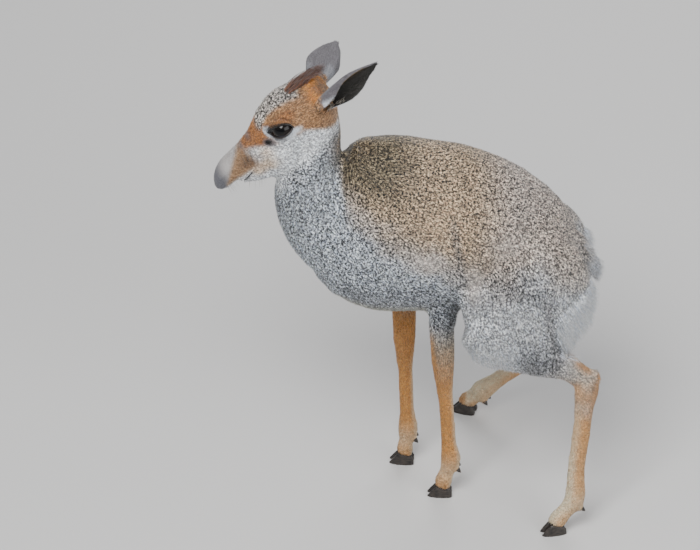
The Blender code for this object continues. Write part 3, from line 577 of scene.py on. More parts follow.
# The flesh under each point, and soft shares of it, spread over the joins.
skin_names = np.full(len(skin_points), len(HIDE_NODES))
skin_names[:hide_count] = flesh_names[nearest(hide, flesh_cloud)]
skin_edges = neighbours(skin_faces, len(skin_points))
shares = spread(
    np.stack([
        named("trunk"), named("neck"), named("thigh", "tail"), named("head", "muzzle", "lower_jaw"),
        named("forearm"), named("gaskin"), named("cannon", "pastern"), named("tail"),
    ], axis=1),
    skin_edges, 24,
)
of_trunk, of_neck, of_thigh, of_head, of_forearm, of_gaskin, of_foot, of_tail = shares.T

x, y, z = (skin_points - (14.46, -57.06, 0)).T
along, up, aside = head_sizes(skin_points)
wander = ripple(skin_points, 46, 3)
flutter = ripple(skin_points, 17, 4)
edge_shift = 9 * wander + 4 * flutter

# Body: brown over the back, darkest on the withers, warm on the flank and
# greyer on the rump, melts into grey on chest, shoulder and thigh.
saddle_edge = np.interp(y, (-24, -13, -4, 30, 55, 77, 99, 121, 143, 165, 187, 209, 240), (440, 396, 356, 326, 324, 314, 300, 286, 290, 300, 312, 296, 284))
on_saddle = ramp(z - saddle_edge + edge_shift, -38, 40)
coat = np.tile(GREY, (len(skin_points), 1))
coat = towards(coat, ramp(y, 128, 146) * ramp(z, 60, 175), THIGH)
coat = towards(coat, of_thigh * (1 - ramp(y, 236, 246)), THIGH)
coat = towards(coat, on_saddle * (1 - of_neck * ramp(-y, 20, 34)), SADDLE)
coat = towards(coat, on_saddle * ramp(z, 352, 386) * (1 - ramp(y + 6 * flutter, 28, 82)) * 0.9, WITHERS)
coat = towards(coat, on_saddle * ramp(y, 112, 165), RUMP_BROWN)
warm = np.exp(-(((y - 96 + 6 * wander) / 34) ** 2) - ((z - 342) / 34) ** 2)
coat = towards(coat, warm * 0.75, WARM)
# Pale patches of hair on the flank and before the stifle; the fainter third one, on the hip, is a painted sheen.
pale = np.exp(-(((y - 76) / 16) ** 2) - ((z - 306 + 5 * flutter) / 13) ** 2)
pale += np.exp(-(((y - 121) / 9) ** 2) - ((z - 282) / 22) ** 2) + 0.5 * np.exp(-(((y - 152) / 20) ** 2) - ((z - 322) / 12) ** 2)
coat = towards(coat, pale * 0.85, PALE)
band = np.exp(-(((z - 286 + 0.28 * (y - 150) + edge_shift * 0.6) / 13) ** 2)) * ramp(y, 128, 144) * (1 - ramp(y, 192, 208))
coat = towards(coat, band * 0.6, THIGH_DARK)
# Painted shade: a soft dark line in the crease between the flank and the thigh.
crease_shade = np.exp(-(((y - 103 - 0.16 * (330 - z)) / 4.5) ** 2)) * ramp(z, 268, 290) * (1 - ramp(z, 335, 362))
coat = towards(coat, crease_shade * 0.45, PAINTED_SHADE)
# Painted shade low on the chest and along the side of the belly.
lower_chest_shade = of_trunk * (1 - ramp(z + 5 * flutter, 250, 282)) * ramp(y, -30, 0) * (1 - ramp(y, 100, 116))
coat = towards(coat, lower_chest_shade * 0.5, PAINTED_SHADE)
# The underside and the inner thighs take the pale belly hair, darkened and tinted olive as painted shade.
underside = ramp(-skin_ways[:, 2], 0.45, 0.8)
coat = towards(coat, underside * of_trunk * (1 - ramp(z, 235, 252)), SHADED_BELLY)
inner_leg = ramp(-skin_ways[:, 0] * np.sign(x), 0.1, 0.6) * of_thigh
coat = towards(coat, inner_leg * (1 - ramp(z, 262, 285)), SHADED_BELLY)
# The white patch on the back of each thigh, puffed out beside the tail.
puff_top = np.interp(y, (200, 215, 240), (240, 254, 274))
puff = ramp(y - 0.12 * (250 - z), 196, 209) * ramp(z, 184, 198) * (1 - ramp(z - puff_top, -3, 3)) * ramp(skin_ways[:, 1], 0.12, 0.4)
rear_edge = np.exp(-(((y - 0.12 * (250 - z) - 197) / 5) ** 2)) * ramp(z, 186, 210) * (1 - ramp(z, 262, 276)) * (of_thigh > 0.3)
coat = towards(coat, rear_edge * 0.9, THIGH_DARK)
coat = towards(coat, puff, WHITE)
fringe = of_thigh * (1 - ramp(z, 206, 226)) * (1 - ramp(y, 150, 178)) * (z > 150)
coat = towards(coat, fringe * 0.75, WHITE)
# Painted shade low on the back of each thigh, stronger on the left one.
thigh_base_shade = of_thigh * (1 - ramp(z + 6 * flutter, 196, 226)) * ramp(y, 150, 178) * (1 - ramp(y, 206, 216))
coat = towards(coat, thigh_base_shade * np.where(x > 0, 0.85, 0.45), PAINTED_SHADE)
coat = towards(coat, of_tail * ramp(skin_ways[:, 1], -0.2, 0.4) * 0.6, THIGH_DARK)

# Legs: grizzled above, tan from the knees down, pale down the front.
outer_grizzle = ramp(skin_ways[:, 0] * np.sign(x), -0.5, 0.1)
leg_tan = of_forearm * (1 - ramp(z + 3 * flutter, 128, 204) * outer_grizzle) + of_foot
coat = towards(coat, of_forearm * (1 - ramp(z, 226, 252)), FOREARM)
coat = towards(coat, of_gaskin, CRUS)
coat = towards(coat, of_gaskin * np.where(x > 0, 1 - ramp(z + 5 * flutter, 142, 176), 1), LEG)
coat = towards(coat, of_gaskin * ramp(skin_ways[:, 1], 0.25, 0.8), LEG)
coat = towards(coat, of_forearm * ramp(-skin_ways[:, 1], 0.35, 0.9) * (1 - ramp(z, 188, 214)), LEG)
coat = towards(coat, np.clip(leg_tan, 0, 1) * (1 - of_gaskin), LEG)
pale_leg = of_foot * (y > 118) * (0.25 + 0.75 * ramp(-skin_ways[:, 1], -0.2, 0.6))
coat = towards(coat, pale_leg * (0.9 - 0.4 * ramp(z, 60, 130)), LEG_PALE)
coat = towards(coat, of_foot * ramp(skin_ways[:, 1], 0.4, 1.0) * (y < 118) * 0.5, LEG_PALE)
coat = towards(coat, of_foot * np.exp(-(((z - 32) / 16) ** 2)) * 0.5, LEG_PALE)

# Head: pale cheeks, a brown brow, a grizzled forehead, a bare nose.
face = np.tile(CHEEK, (len(skin_points), 1))
face = towards(face, ramp(along, 62, 84) * ramp(up, -20, -10) * (1 - ramp(up, -6, 2)), BUFF)
face = towards(face, np.exp(-(((along - 75) / 10) ** 2) - ((up - 3) / 7) ** 2) * 0.8, BUFF)
# Painted shade under the jaw.
face = towards(face, ramp(-up, 24, 34) * (1 - ramp(along, 70, 92)) * 0.7, PAINTED_SHADE)
side_tan = ramp(along, 84, 96) * ramp(up, -7, 0)
face = towards(face, side_tan, NOSE_TAN)
bridge = ramp(along, 50, 62) * ramp(up - 0.3 * (along - 60), 3, 11) * (1 - ramp(along, 86, 98))
face = towards(face, bridge, RUFOUS)
brow_edge = np.interp(along, (-20, 2, 13, 24, 34, 46), (-38, -27, -12, 0, 3, 14))
brow = ramp(up - brow_edge + 2.5 * flutter, -5, 5) * (1 - ramp(along, 88, 98)) * ramp(along, -40, -12)
face = towards(face, brow * (1 - ramp(along, 52, 66)), BROWN_FACE)
face = towards(face, brow * ramp(up, 14, 22) * (1 - ramp(up, 25, 31)) * ramp(along, 14, 26), RUFOUS)
patch = ramp(up + 0.10 * np.abs(aside) + flutter, 24.5, 29) * ramp(along, 2, 10) * (1 - ramp(along, 58, 68))
face = towards(face, patch * (1 - ramp(np.abs(aside), 14, 20)), FOREHEAD)
nose_top = ramp(up - 19.4 + 0.62 * (along - 99.5), -3.0, 3.0) * ramp(along, 82, 92)
face = towards(face, nose_top, BARE)
face = towards(face, nose_top * ramp(along, 116, 134) + ramp(along, 131, 138), BARE_DARK)
nose_marks = np.exp(-(((along - 81) / 4) ** 2) - ((up - 24) / 3.5) ** 2) + np.exp(-(((along - 93) / 3) ** 2) - ((up - 20) / 2.5) ** 2)
face = towards(face, nose_marks * 0.7, BARE_DARK)
face = towards(face, np.exp(-(((along - 97) / 8) ** 2) - ((up - 6.5) / 5) ** 2) * 0.85, NOSE_DARK)
face = towards(face, np.exp(-(((along - 98) / 9) ** 2) - ((up - 2) / 2.2) ** 2) * 0.5, NOSE_DARK)
upper_lip = (1 - ramp(up + 0.02 * (along - 105), -6, -2.5)) * ramp(along, 98, 106)
face = towards(face, upper_lip * 0.9, CHEEK)
face = towards(face, (1 - ramp(along + 2 * flutter, -6, 4)) * ramp(along, -17, -9) * ramp(up, 10, 18) * (1 - ramp(np.abs(aside), 22, 30)), ORANGE)
for side, sign in SIDES.items():
    middle, turn = eye_frame(side)
    a, b, h = ((skin_points - middle) @ turn.T).T
    away = past_lid(a, b) + np.where(h > -2, 0, 1e3)
    front_white = ramp(a, 7, 12) * (1 - ramp(away, 4.5, 8.0)) * (1 - ramp(b, 4, 8)) * ramp(b, -9, -5)
    back_white = ramp(-a, -2, 5) * ramp(-b, -1, 4) * (1 - ramp(away, 5.5, 10))
    face = towards(face, front_white + back_white, WHITE)
    below = ramp(-b, 2, 6) * (1 - ramp(np.abs(a - 6), 5, 10)) * (1 - ramp(away, 3, 8))
    face = towards(face, below * 0.7, BARE_DARK)
    face = towards(face, 1 - ramp(away, 1.0, 2.4), BLACK)
gland_spot = np.hypot((along - GLAND[0]) / 1.25, up - GLAND[1])
face = towards(face, (1 - ramp(gland_spot, 4.4, 7.0)) * (np.abs(aside) > 7) * 0.7, BARE_DARK)
face = towards(face, (1 - ramp(gland_spot, 2.6, 4.0)) * (np.abs(aside) > 7), BLACK)
both_sides = np.stack([along, up, np.abs(aside)], axis=1)
nostril_far = np.where(along > 120, from_line(both_sides, NOSTRIL), 99)
face = towards(face, 1 - ramp(nostril_far, 0.9, 2.2), BLACK)
lips_reach, lips_above = mouth_line(along, up)
lips_on = ramp(lips_reach, -3, 2) * (1 - ramp(lips_reach, 18, 24))
face = towards(face, lips_on * (1 - ramp(np.abs(lips_above), 0.5, 1.4)), BLACK)
coat = coat + (face - coat) * of_head[:, None]
nape = of_neck * ramp(z, 396, 424) * ramp(y, -34, -14)
coat = towards(coat, nape * 0.55, BROWN_FACE)
# Painted shade on the downward-facing throat under the jaw.
throat_shade = of_neck * ramp(-skin_ways[:, 2], 0.1, 0.6) * ramp(z, 380, 396)
coat = towards(coat, throat_shade * 0.75, PAINTED_SHADE)

# Ears: grey backs with a pale tuft low down, dark cups with an ochre streak.
for side, sign in SIDES.items():
    mine = ear_number == sign
    root, axis, back, across, length = ear_frame(side)
    share = (skin_points - root) @ axis / length
    low = (axis * (share * length)[:, None] + root - skin_points)[:, 2]
    inside = (np.arange(len(skin_points)) - np.flatnonzero(mine)[0]) % (2 * EAR_COLUMNS) >= EAR_COLUMNS
    ear = np.tile(EAR_BACK, (len(skin_points), 1))
    ear = towards(ear, ramp(low, -3, 2) * ramp(share, 0.08, 0.16) * (1 - ramp(share, 0.36, 0.50)) * np.where(sign > 0, 1, 0.25), WHITE)
    cup = np.tile(EAR_CUP, (len(skin_points), 1))
    streak = np.exp(-(((low + 6) / 3.5) ** 2)) * ramp(share, 0.30, 0.45) * (1 - ramp(share, 0.85, 0.97))
    cup = towards(cup, streak * 0.9, OCHRE)
    ear = np.where(inside[:, None], cup, ear)
    ear = towards(ear, 1 - ramp(share, 0.05, 0.14), BROWN_FACE)
    coat = np.where(mine[:, None], ear, coat)

# The coat's lie at each point of the skin: its way, depth, length, width and
# rise. It parts round the eyes and is shortest at lips, lids and nostrils.
fields = np.concatenate([lie, np.zeros((len(skin_points) - hide_count, 7))])
short = np.ones(len(skin_points))
bald = np.zeros(len(skin_points))
for side, sign in SIDES.items():
    middle, turn = eye_frame(side)
    a, b, h = ((skin_points - middle) @ turn.T).T
    near_eye = (h > -2) & (np.hypot(a, b) < 30)
    away = np.where(near_eye, past_lid(a, b), 99)
    turned = (a[:, None] * turn[0] + b[:, None] * turn[1]) / np.maximum(np.hypot(a, b), 1)[:, None]
    fields[:, :3] += turned * (1.6 * (1 - ramp(away, 1, 12)) * near_eye)[:, None]
    short *= 0.22 + 0.78 * ramp(away, 0.8, 12)
    bald = np.maximum(bald, away < 0.9)
    mine = ear_number == sign
    root, axis, back, across, length = ear_frame(side)
    fields[mine, :3] = axis
    fields[mine, 3:] = (0.3, 2.6, 0.62, 0.12)
short *= 1 - 0.6 * of_head * lips_on * (1 - ramp(np.abs(lips_above), 1, 7))
short *= 1 - 0.45 * of_head * (1 - ramp(gland_spot, 3, 8))
bald = np.maximum(bald, (nostril_far < 2.4) | (gland_spot < 2.6) * (np.abs(aside) > 7))
bald = np.maximum(bald, lips_on * (np.abs(lips_above) < 1.1) * (lips_reach < 36))
bare_nose = of_head * np.clip(ramp(along, 100, 112) * ramp(up - 0.15 * (120 - along), 8, 13) + ramp(along, 133, 139), 0, 1)
puffed = puff * 1.0 + fringe * 0.4

# The hide's own paint: the mean of its hairs' colours, a little darker where
# long coat stands over it, as painted shade under the coat, and mottled finely
# like hair that lies flat.
middle_colour = coat[:, 3:6]
share_light, share_dark = coat[:, 9:10], coat[:, 10:11]
mean_colour = coat[:, 0:3] * share_light + coat[:, 6:9] * share_dark
mean_colour = mean_colour + middle_colour * (1 - share_light - share_dark)
# Painted shade: darker by the length of the coat over it, and by 0.9 wherever hair grows.
under = np.clip(1 - fields[:, 4] / 16, 0.45, 1)[:, None] * np.where(bald > 0, 1, 0.9)[:, None]


def paint_points(mesh, name, colours):
    """A colour for each point, in linear light, as the mesh's own attribute."""
    layer = mesh.color_attributes.new(name, "FLOAT_COLOR", "POINT")
    rows = np.ones((len(colours), 4), np.float32)
    rows[:, :3] = np.clip(colours, 0, 1)
    layer.data.foreach_set("color", rows.ravel())


paint_points(skin.data, "markings", mean_colour * under)
# How strongly the hair is speckled: most where the dark hair is commonest.
speckled = np.clip(3.8 * (coat[:, 10] - 0.08), 0, 1)
speckled *= 1 - 0.5 * of_head * np.clip(brow + bridge + side_tan, 0, 1) * (1 - patch * (1 - ramp(np.abs(aside), 14, 20)))
paint_points(skin.data, "pepper", np.repeat(speckled[:, None], 3, axis=1))


def shader(name, roughness, specular=0.3, sheen=0.0):
    """(material, node tree, its Principled node, a maker of linked nodes)."""
    made = bpy.data.materials.new(name)
    made.use_nodes = True
    tree = made.node_tree
    principled = tree.nodes["Principled BSDF"]
    principled.inputs["Roughness"].default_value = roughness
    principled.inputs["Specular IOR Level"].default_value = specular
    principled.inputs["Sheen Weight"].default_value = sheen
    principled.inputs["Sheen Roughness"].default_value = 0.5

    def node(kind, settings=None, inputs=None):
        new = tree.nodes.new(kind)
        for key, value in (settings or {}).items():
            setattr(new, key, value)
        for key, value in (inputs or {}).items():
            if isinstance(value, bpy.types.NodeSocket):
                tree.links.new(value, new.inputs[key])
            else:
                new.inputs[key].default_value = value
        return new

    return made, tree, principled, node


def noise(node, place, scale, detail=3.0, roughness=0.6):
    """Fractal noise at the object's own coordinates, 0 to 1."""
    inputs = {"Vector": place, "Scale": scale, "Detail": detail, "Roughness": roughness}
    return node("ShaderNodeTexNoise", None, inputs).outputs["Fac"]


def peppered(tree, node, place, markings, pepper):
    """The markings' colour, darkened in specks under 2 mm across and lightened
    between them, as far as the pepper says."""
    speck = noise(node, place, 500.0, 1.5)
    range_ = {"Value": speck, "From Min": 0.415, "From Max": 0.6, "To Min": 0.03, "To Max": 1.95}
    speck = node("ShaderNodeMapRange", None, range_).outputs["Result"]
    mixed = node("ShaderNodeMix", {"data_type": "RGBA", "blend_type": "MULTIPLY"}, {"Factor": pepper, "A": markings})
    tree.links.new(speck, mixed.inputs[7])
    return mixed.outputs[2]


hide_paint, tree, principled, node = shader("short_hair_and_skin", 0.72, 0.25, 0.15)
place = node("ShaderNodeTexCoord").outputs["Object"]
markings = node("ShaderNodeVertexColor", {"layer_name": "markings"}).outputs["Color"]
pepper = node("ShaderNodeVertexColor", {"layer_name": "pepper"}).outputs["Color"]
tree.links.new(peppered(tree, node, place, markings, pepper), principled.inputs["Base Color"])
bump = node("ShaderNodeBump", None, {"Strength": 0.35, "Distance": 0.0006, "Height": noise(node, place, 1500.0, 4.0)})
tree.links.new(bump.outputs["Normal"], principled.inputs["Normal"])
skin.data.materials.append(hide_paint)

# ---------------------------------------------------------------- the eyes
# The eyes are big, dark and wet, with a level pupil. Each ball sits in its
# socket behind the lids, whose thin black rims close on it all round.


def rings_to_quads(rows, count):
    """Quads of a grid of rings, each joined to the next and to itself."""
    number = np.arange(rows * count).reshape(rows, count)
    low, high = number[:-1], number[1:]
    return np.stack([low, np.roll(low, -1, 1), np.roll(high, -1, 1), high], -1).reshape(-1, 4)


def ball(side):
    """An eyeball in rings about its outward way: radius 12, plus 0.8 * (1 -
    (angle / 0.8)^2)^2 over the cornea."""
    middle, turn = eye_frame(side)
    polar = np.concatenate([np.linspace(1e-3, 1.1, 44), np.linspace(1.14, math.pi - 1e-3, 24)])[:, None]
    around = np.linspace(0, 2 * math.pi, 72, endpoint=False)[None]
    reach = EYE_RADIUS + 0.8 * np.clip(1 - (polar / 0.8) ** 2, 0, 1) ** 2
    across = reach * np.sin(polar)
    local = np.stack([across * np.cos(around), across * np.sin(around), reach * np.cos(polar) + 0 * around], -1)
    local = local.reshape(-1, 3)
    return middle + local @ turn, rings_to_quads(68, 72), local


def turned_out(points, faces):
    """The faces, turned round where the closed shape would be inside out."""
    a, b, c = (points[faces[:, k]] for k in range(3))
    return faces if np.einsum("ij,ij->", a, np.cross(b, c)) > 0 else faces[:, ::-1]


eye_paint, tree, principled, node = shader("wet_eye", 0.06, 0.22)
iris = node("ShaderNodeVertexColor", {"layer_name": "iris"}).outputs["Color"]
tree.links.new(iris, principled.inputs["Base Color"])

rim_paint, tree, principled, node = shader("moist_lid", 0.30, 0.5)
principled.inputs["Base Color"].default_value = (*tint(34, 28, 27), 1)
place = node("ShaderNodeTexCoord").outputs["Object"]
bump = node("ShaderNodeBump", None, {"Strength": 0.4, "Distance": 0.0002, "Height": noise(node, place, 2500.0)})
tree.links.new(bump.outputs["Normal"], principled.inputs["Normal"])

for side in SIDES:
    points, quads, local = ball(side)
    eyeball = surface(f"{side}_eyeball", points, turned_out(points - points.mean(0), quads))
    iris_far = np.hypot(local[:, 0], local[:, 1])
    colours = np.tile(tint(20, 15, 13), (len(points), 1))
    pupil = 1 - ramp(np.hypot(local[:, 0] / 5.6, local[:, 1] / 2.9), 0.85, 1.1)
    colours = colours + (tint(6, 6, 8) - colours) * pupil[:, None]
    colours = colours + (tint(20, 15, 13) - colours) * ramp(iris_far, 7.2, 8.6)[:, None]
    # A blue-grey crescent low on the cornea is a painted reflection.
    painted_reflection = np.exp(-(((local[:, 1] + 5.9) / 0.75) ** 2)) * (1 - ramp(np.abs(local[:, 0] + 1), 4.0, 7.5)) * (local[:, 2] > 0)
    colours = colours + (tint(96, 110, 132) - colours) * 0.6 * painted_reflection[:, None]
    paint_points(eyeball.data, "iris", colours)
    eyeball.data.materials.append(eye_paint)
    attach(eyeball, "root")
    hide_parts(f"{side}_eye")

    # The rim: a round cord, 0.8 thick at the middle and less at the corners,
    # that follows the opening and rests on the ball.
    middle, turn = eye_frame(side)
    path = lid_edge[side]
    ahead = unit(np.roll(path, -1, 0) - np.roll(path, 1, 0))
    spoke = unit(path * (1, 1, 0))
    spoke = unit(spoke - ahead * (spoke * ahead).sum(1, keepdims=True))
    over = np.cross(ahead, spoke)
    turn_round = np.linspace(0, 2 * math.pi, 12, endpoint=False)
    thick = 0.62 + 0.35 * np.abs(np.sin(angle))[:, None, None]
    loop = path[:, None] - (0, 0, 0.25) + thick * (
        np.cos(turn_round)[None, :, None] * spoke[:, None] + np.sin(turn_round)[None, :, None] * over[:, None]
    )
    loop = np.concatenate([loop, loop[:1]]).reshape(-1, 3)
    quads = rings_to_quads(97, 12)
    quads = np.where(quads >= 96 * 12, quads - 96 * 12, quads)
    points = middle + loop[: 96 * 12] @ turn
    rim = surface(f"{side}_eyelid_rim", points, turned_out(points - points.mean(0), quads))
    rim.data.materials.append(rim_paint)
    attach(rim, "root")

# -------------------------------------------------------------- the hooves
# Each foot has two narrow claws of black horn, pointed and flat under, and two
# small dewclaws behind the fetlock. They grow out of the pastern's hair.
FEET = {
    "left_fore": ((40.46, 43.94, 40.0), (40.46, 20.94, 0.0)),
    "right_fore": ((-17.54, 1.44, 37.0), (-18.54, -17.06, 0.0)),
    "left_hind": ((102.46, 166.94, 34.0), (111.46, 134.94, 0.0)),
    "right_hind": ((-103.54, 73.94, 25.0), (-111.54, 46.94, 0.0)),
}
CLAW_LENGTH, CLAW_WIDTH, CLAW_HEIGHT = 24.5, 8.3, 12.8
CLAW_WIDE = ((0, 0.5), (0.12, 0.9), (0.4, 1.0), (0.68, 0.9), (0.88, 0.62), (1, 0.14))
CLAW_HIGH = ((0, 0.35), (0.12, 0.85), (0.4, 1.15), (0.68, 0.8), (0.88, 0.38), (1, 0.08))
CORONET, CORONET_TILT = 11.5, math.radians(18)
DEWCLAW_LENGTH = 6.6

horn_paint, tree, principled, node = shader("black_horn", 0.38, 0.45)
place = node("ShaderNodeTexCoord").outputs["Object"]
stretched = node("ShaderNodeMapping", {"vector_type": "POINT"}, {"Vector": place, "Scale": (1.0, 1.0, 6.0)}).outputs["Vector"]
layers = noise(node, stretched, 190.0, 4.0)
worn = node("ShaderNodeValToRGB", None, {"Fac": layers})
worn.color_ramp.elements[0].color = (*tint(24, 22, 22), 1)
worn.color_ramp.elements[1].color = (*tint(78, 70, 64), 1)
worn.color_ramp.elements[0].position = 0.35
worn.color_ramp.elements[1].position = 0.78
tree.links.new(worn.outputs["Color"], principled.inputs["Base Color"])
bump = node("ShaderNodeBump", None, {"Strength": 0.5, "Distance": 0.0004, "Height": layers})
tree.links.new(bump.outputs["Normal"], principled.inputs["Normal"])


def claw(fetlock, toe, hand):
    """A claw in upright rings from heel to toe: half width * cos along its
    side, height * sin upwards, cut off at the floor and just over the coronet,
    with shallow growth rings in its wall."""
    forward = unit((toe - fetlock) * (1, 1, 0))
    aside = np.array([-forward[1], forward[0], 0]) * hand
    share = np.linspace(0, 1, 40)[:, None]
    round_it = np.linspace(0, 2 * math.pi, 28, endpoint=False)[None]
    wide = CLAW_WIDTH / 2 * eased(share, CLAW_WIDE, 0.03)
    high = CLAW_HEIGHT * eased(share, CLAW_HIGH, 0.03)
    level = np.maximum(high * np.sin(round_it), 0)
    ahead = (share - 0.4) * CLAW_LENGTH
    level = np.minimum(level, CORONET + 1.0 + math.tan(CORONET_TILT) * ahead)
    ripple_out = 1 + 0.022 * np.sin((level - 0.25 * ahead) * 2 * math.pi / 1.9)
    off = CLAW_WIDTH / 2 + 0.3 - 0.5 * share + wide * np.cos(round_it) * ripple_out
    points = toe + forward * ((share - 1) * CLAW_LENGTH + 0 * round_it)[..., None]
    points = points + aside * off[..., None] + np.array([0, 0, 1]) * level[..., None]
    points = points.reshape(-1, 3)
    ends = np.stack([points[:28].mean(0), points[-28:].mean(0)])
    first = np.stack([np.arange(28), np.full(28, 1120), np.roll(np.arange(28), -1)], 1)
    last = np.stack([np.roll(np.arange(28), -1) + 1092, np.full(28, 1121), np.arange(28) + 1092], 1)
    quads = rings_to_quads(40, 28)
    faces = np.concatenate([quads[:, :3], quads[:, [0, 2, 3]], first, last])
    points = np.concatenate([points, ends])
    return points, turned_out(points - points.mean(0), faces)


def dewclaw(fetlock, toe, hand):
    """A small blunt cone: radius (2.7 - 1.2 t) * (1 - t^4), t from root to tip."""
    forward = unit((toe - fetlock) * (1, 1, 0))
    aside = np.array([-forward[1], forward[0], 0]) * hand
    root = fetlock + aside * 4.6 - forward * 6.3 - (0, 0, 5.5)
    way = unit(aside * 0.35 - forward * 0.85 - (0, 0, 0.9))
    first = unit(np.cross(way, aside))
    second = np.cross(way, first)
    share = np.linspace(0.18, 1, 14)[:, None, None]
    round_it = np.linspace(0, 2 * math.pi, 16, endpoint=False)[None, :, None]
    radius = (2.7 - 1.2 * share) * (1 - share**4) + 0.02
    points = root + way * share * DEWCLAW_LENGTH + radius * (np.cos(round_it) * first + np.sin(round_it) * second)
    points = points.reshape(-1, 3)
    quads = rings_to_quads(14, 16)
    ends = np.stack([points[:16].mean(0), points[-16:].mean(0)])
    first = np.stack([np.arange(16), np.full(16, 224), np.roll(np.arange(16), -1)], 1)
    last = np.stack([np.roll(np.arange(16), -1) + 208, np.full(16, 225), np.arange(16) + 208], 1)
    faces = np.concatenate([quads[:, :3], quads[:, [0, 2, 3]], first, last])
    points = np.concatenate([points, ends])
    return points, turned_out(points - points.mean(0), faces)


for foot, (fetlock, toe) in FEET.items():
    fetlock, toe = np.array(fetlock), np.array(toe)
    outer_hand = SIDES[foot.split("_")[0]]
    for word, hand in (("inner", -1), ("outer", 1)):
        for piece, make in (("hoof", claw), ("dewclaw", dewclaw)):
            points, faces = make(fetlock, toe, hand * outer_hand)
            made = surface(f"{foot}_{word}_{piece}_horn", points, faces)
            made.data.set_sharp_from_angle(angle=math.radians(48))
            made.data.materials.append(horn_paint)
            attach(made, "root")
            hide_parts(f"{foot}_{word}_{piece}")

# ---------------------------------------------------------------- the coat
# The coat is short, dense, springy hair. Each tuft is a thin spike, closed all
# round: three corners at its root, the upper one raised, and a free tip.
TUFT_FACES = np.array([(0, 1, 3), (1, 2, 3), (2, 0, 3), (0, 2, 1)])
TUFT_PATCH = np.array([(-0.5, -0.5), (0.5, -0.5), (0, -0.3), (0, 0.5)]) * 0.003

corners = skin_points[skin_faces]
face_area = np.linalg.norm(np.cross(corners[:, 1] - corners[:, 0], corners[:, 2] - corners[:, 0]), axis=1) / 2
face_middle = corners.mean(axis=1)
face_name = skin_names[skin_faces[:, 0]]
face_ear = ear_number[skin_faces[:, 0]]


def roots(chosen, density, draw):
    """Places spread evenly over the chosen faces, by their running area, with
    so many to a square millimetre: (face numbers, shares of its corners)."""
    area = np.cumsum(np.where(chosen, face_area * density, 0))
    count = int(area[-1])
    at = (np.arange(count) + draw.random(count)) * area[-1] / count
    face = np.minimum(np.searchsorted(area, at), len(area) - 1)
    p, q = draw.random(count), draw.random(count)
    p, q = np.where(p + q > 1, 1 - p, p), np.where(p + q > 1, 1 - q, q)
    return face, np.stack([1 - p - q, p, q], axis=1)


def at_roots(values, face, share):
    """The values at the skin's points, mixed at each root by its shares."""
    return np.einsum("ij,ijk->ik", share, values[skin_faces[face]])


def unwrapped(points, way, middle=None):
    """Where each point lies on the skin rolled flat: its angle round the line
    through the middle of each slice along the way, and how far along it is."""
    way = unit(way)
    first = unit(np.cross(way, (0.3, 0.9, 0.2) if abs(way[1]) < 0.9 else (1, 0, 0)))
    second = np.cross(way, first)
    far = points @ way
    if middle is None:
        slices = np.linspace(far.min(), far.max(), 20)
        index = np.clip(np.searchsorted(slices, far), 1, 19)
        total = sums(index, points, 20) / np.maximum(np.bincount(index, minlength=20), 1)[:, None]
        centre = np.stack([np.interp(far, slices[1:], total[1:, k]) for k in range(3)], axis=1)
    else:
        centre = np.array(middle)
    spoke = points - centre
    round_it = np.arctan2(spoke @ second, spoke @ first)
    flat = np.stack([round_it, far], axis=1)
    low, high = flat.min(axis=0), flat.max(axis=0)
    return 0.01 + 0.98 * (flat - low) / (high - low)


hair_paint, tree, principled, node = shader("grizzled_hair", 0.62, 0.25, 0.25)
place = node("ShaderNodeTexCoord").outputs["Object"]
markings = node("ShaderNodeVertexColor", {"layer_name": "markings"}).outputs["Color"]
pepper = node("ShaderNodeVertexColor", {"layer_name": "pepper"}).outputs["Color"]
tree.links.new(peppered(tree, node, place, markings, pepper), principled.inputs["Base Color"])


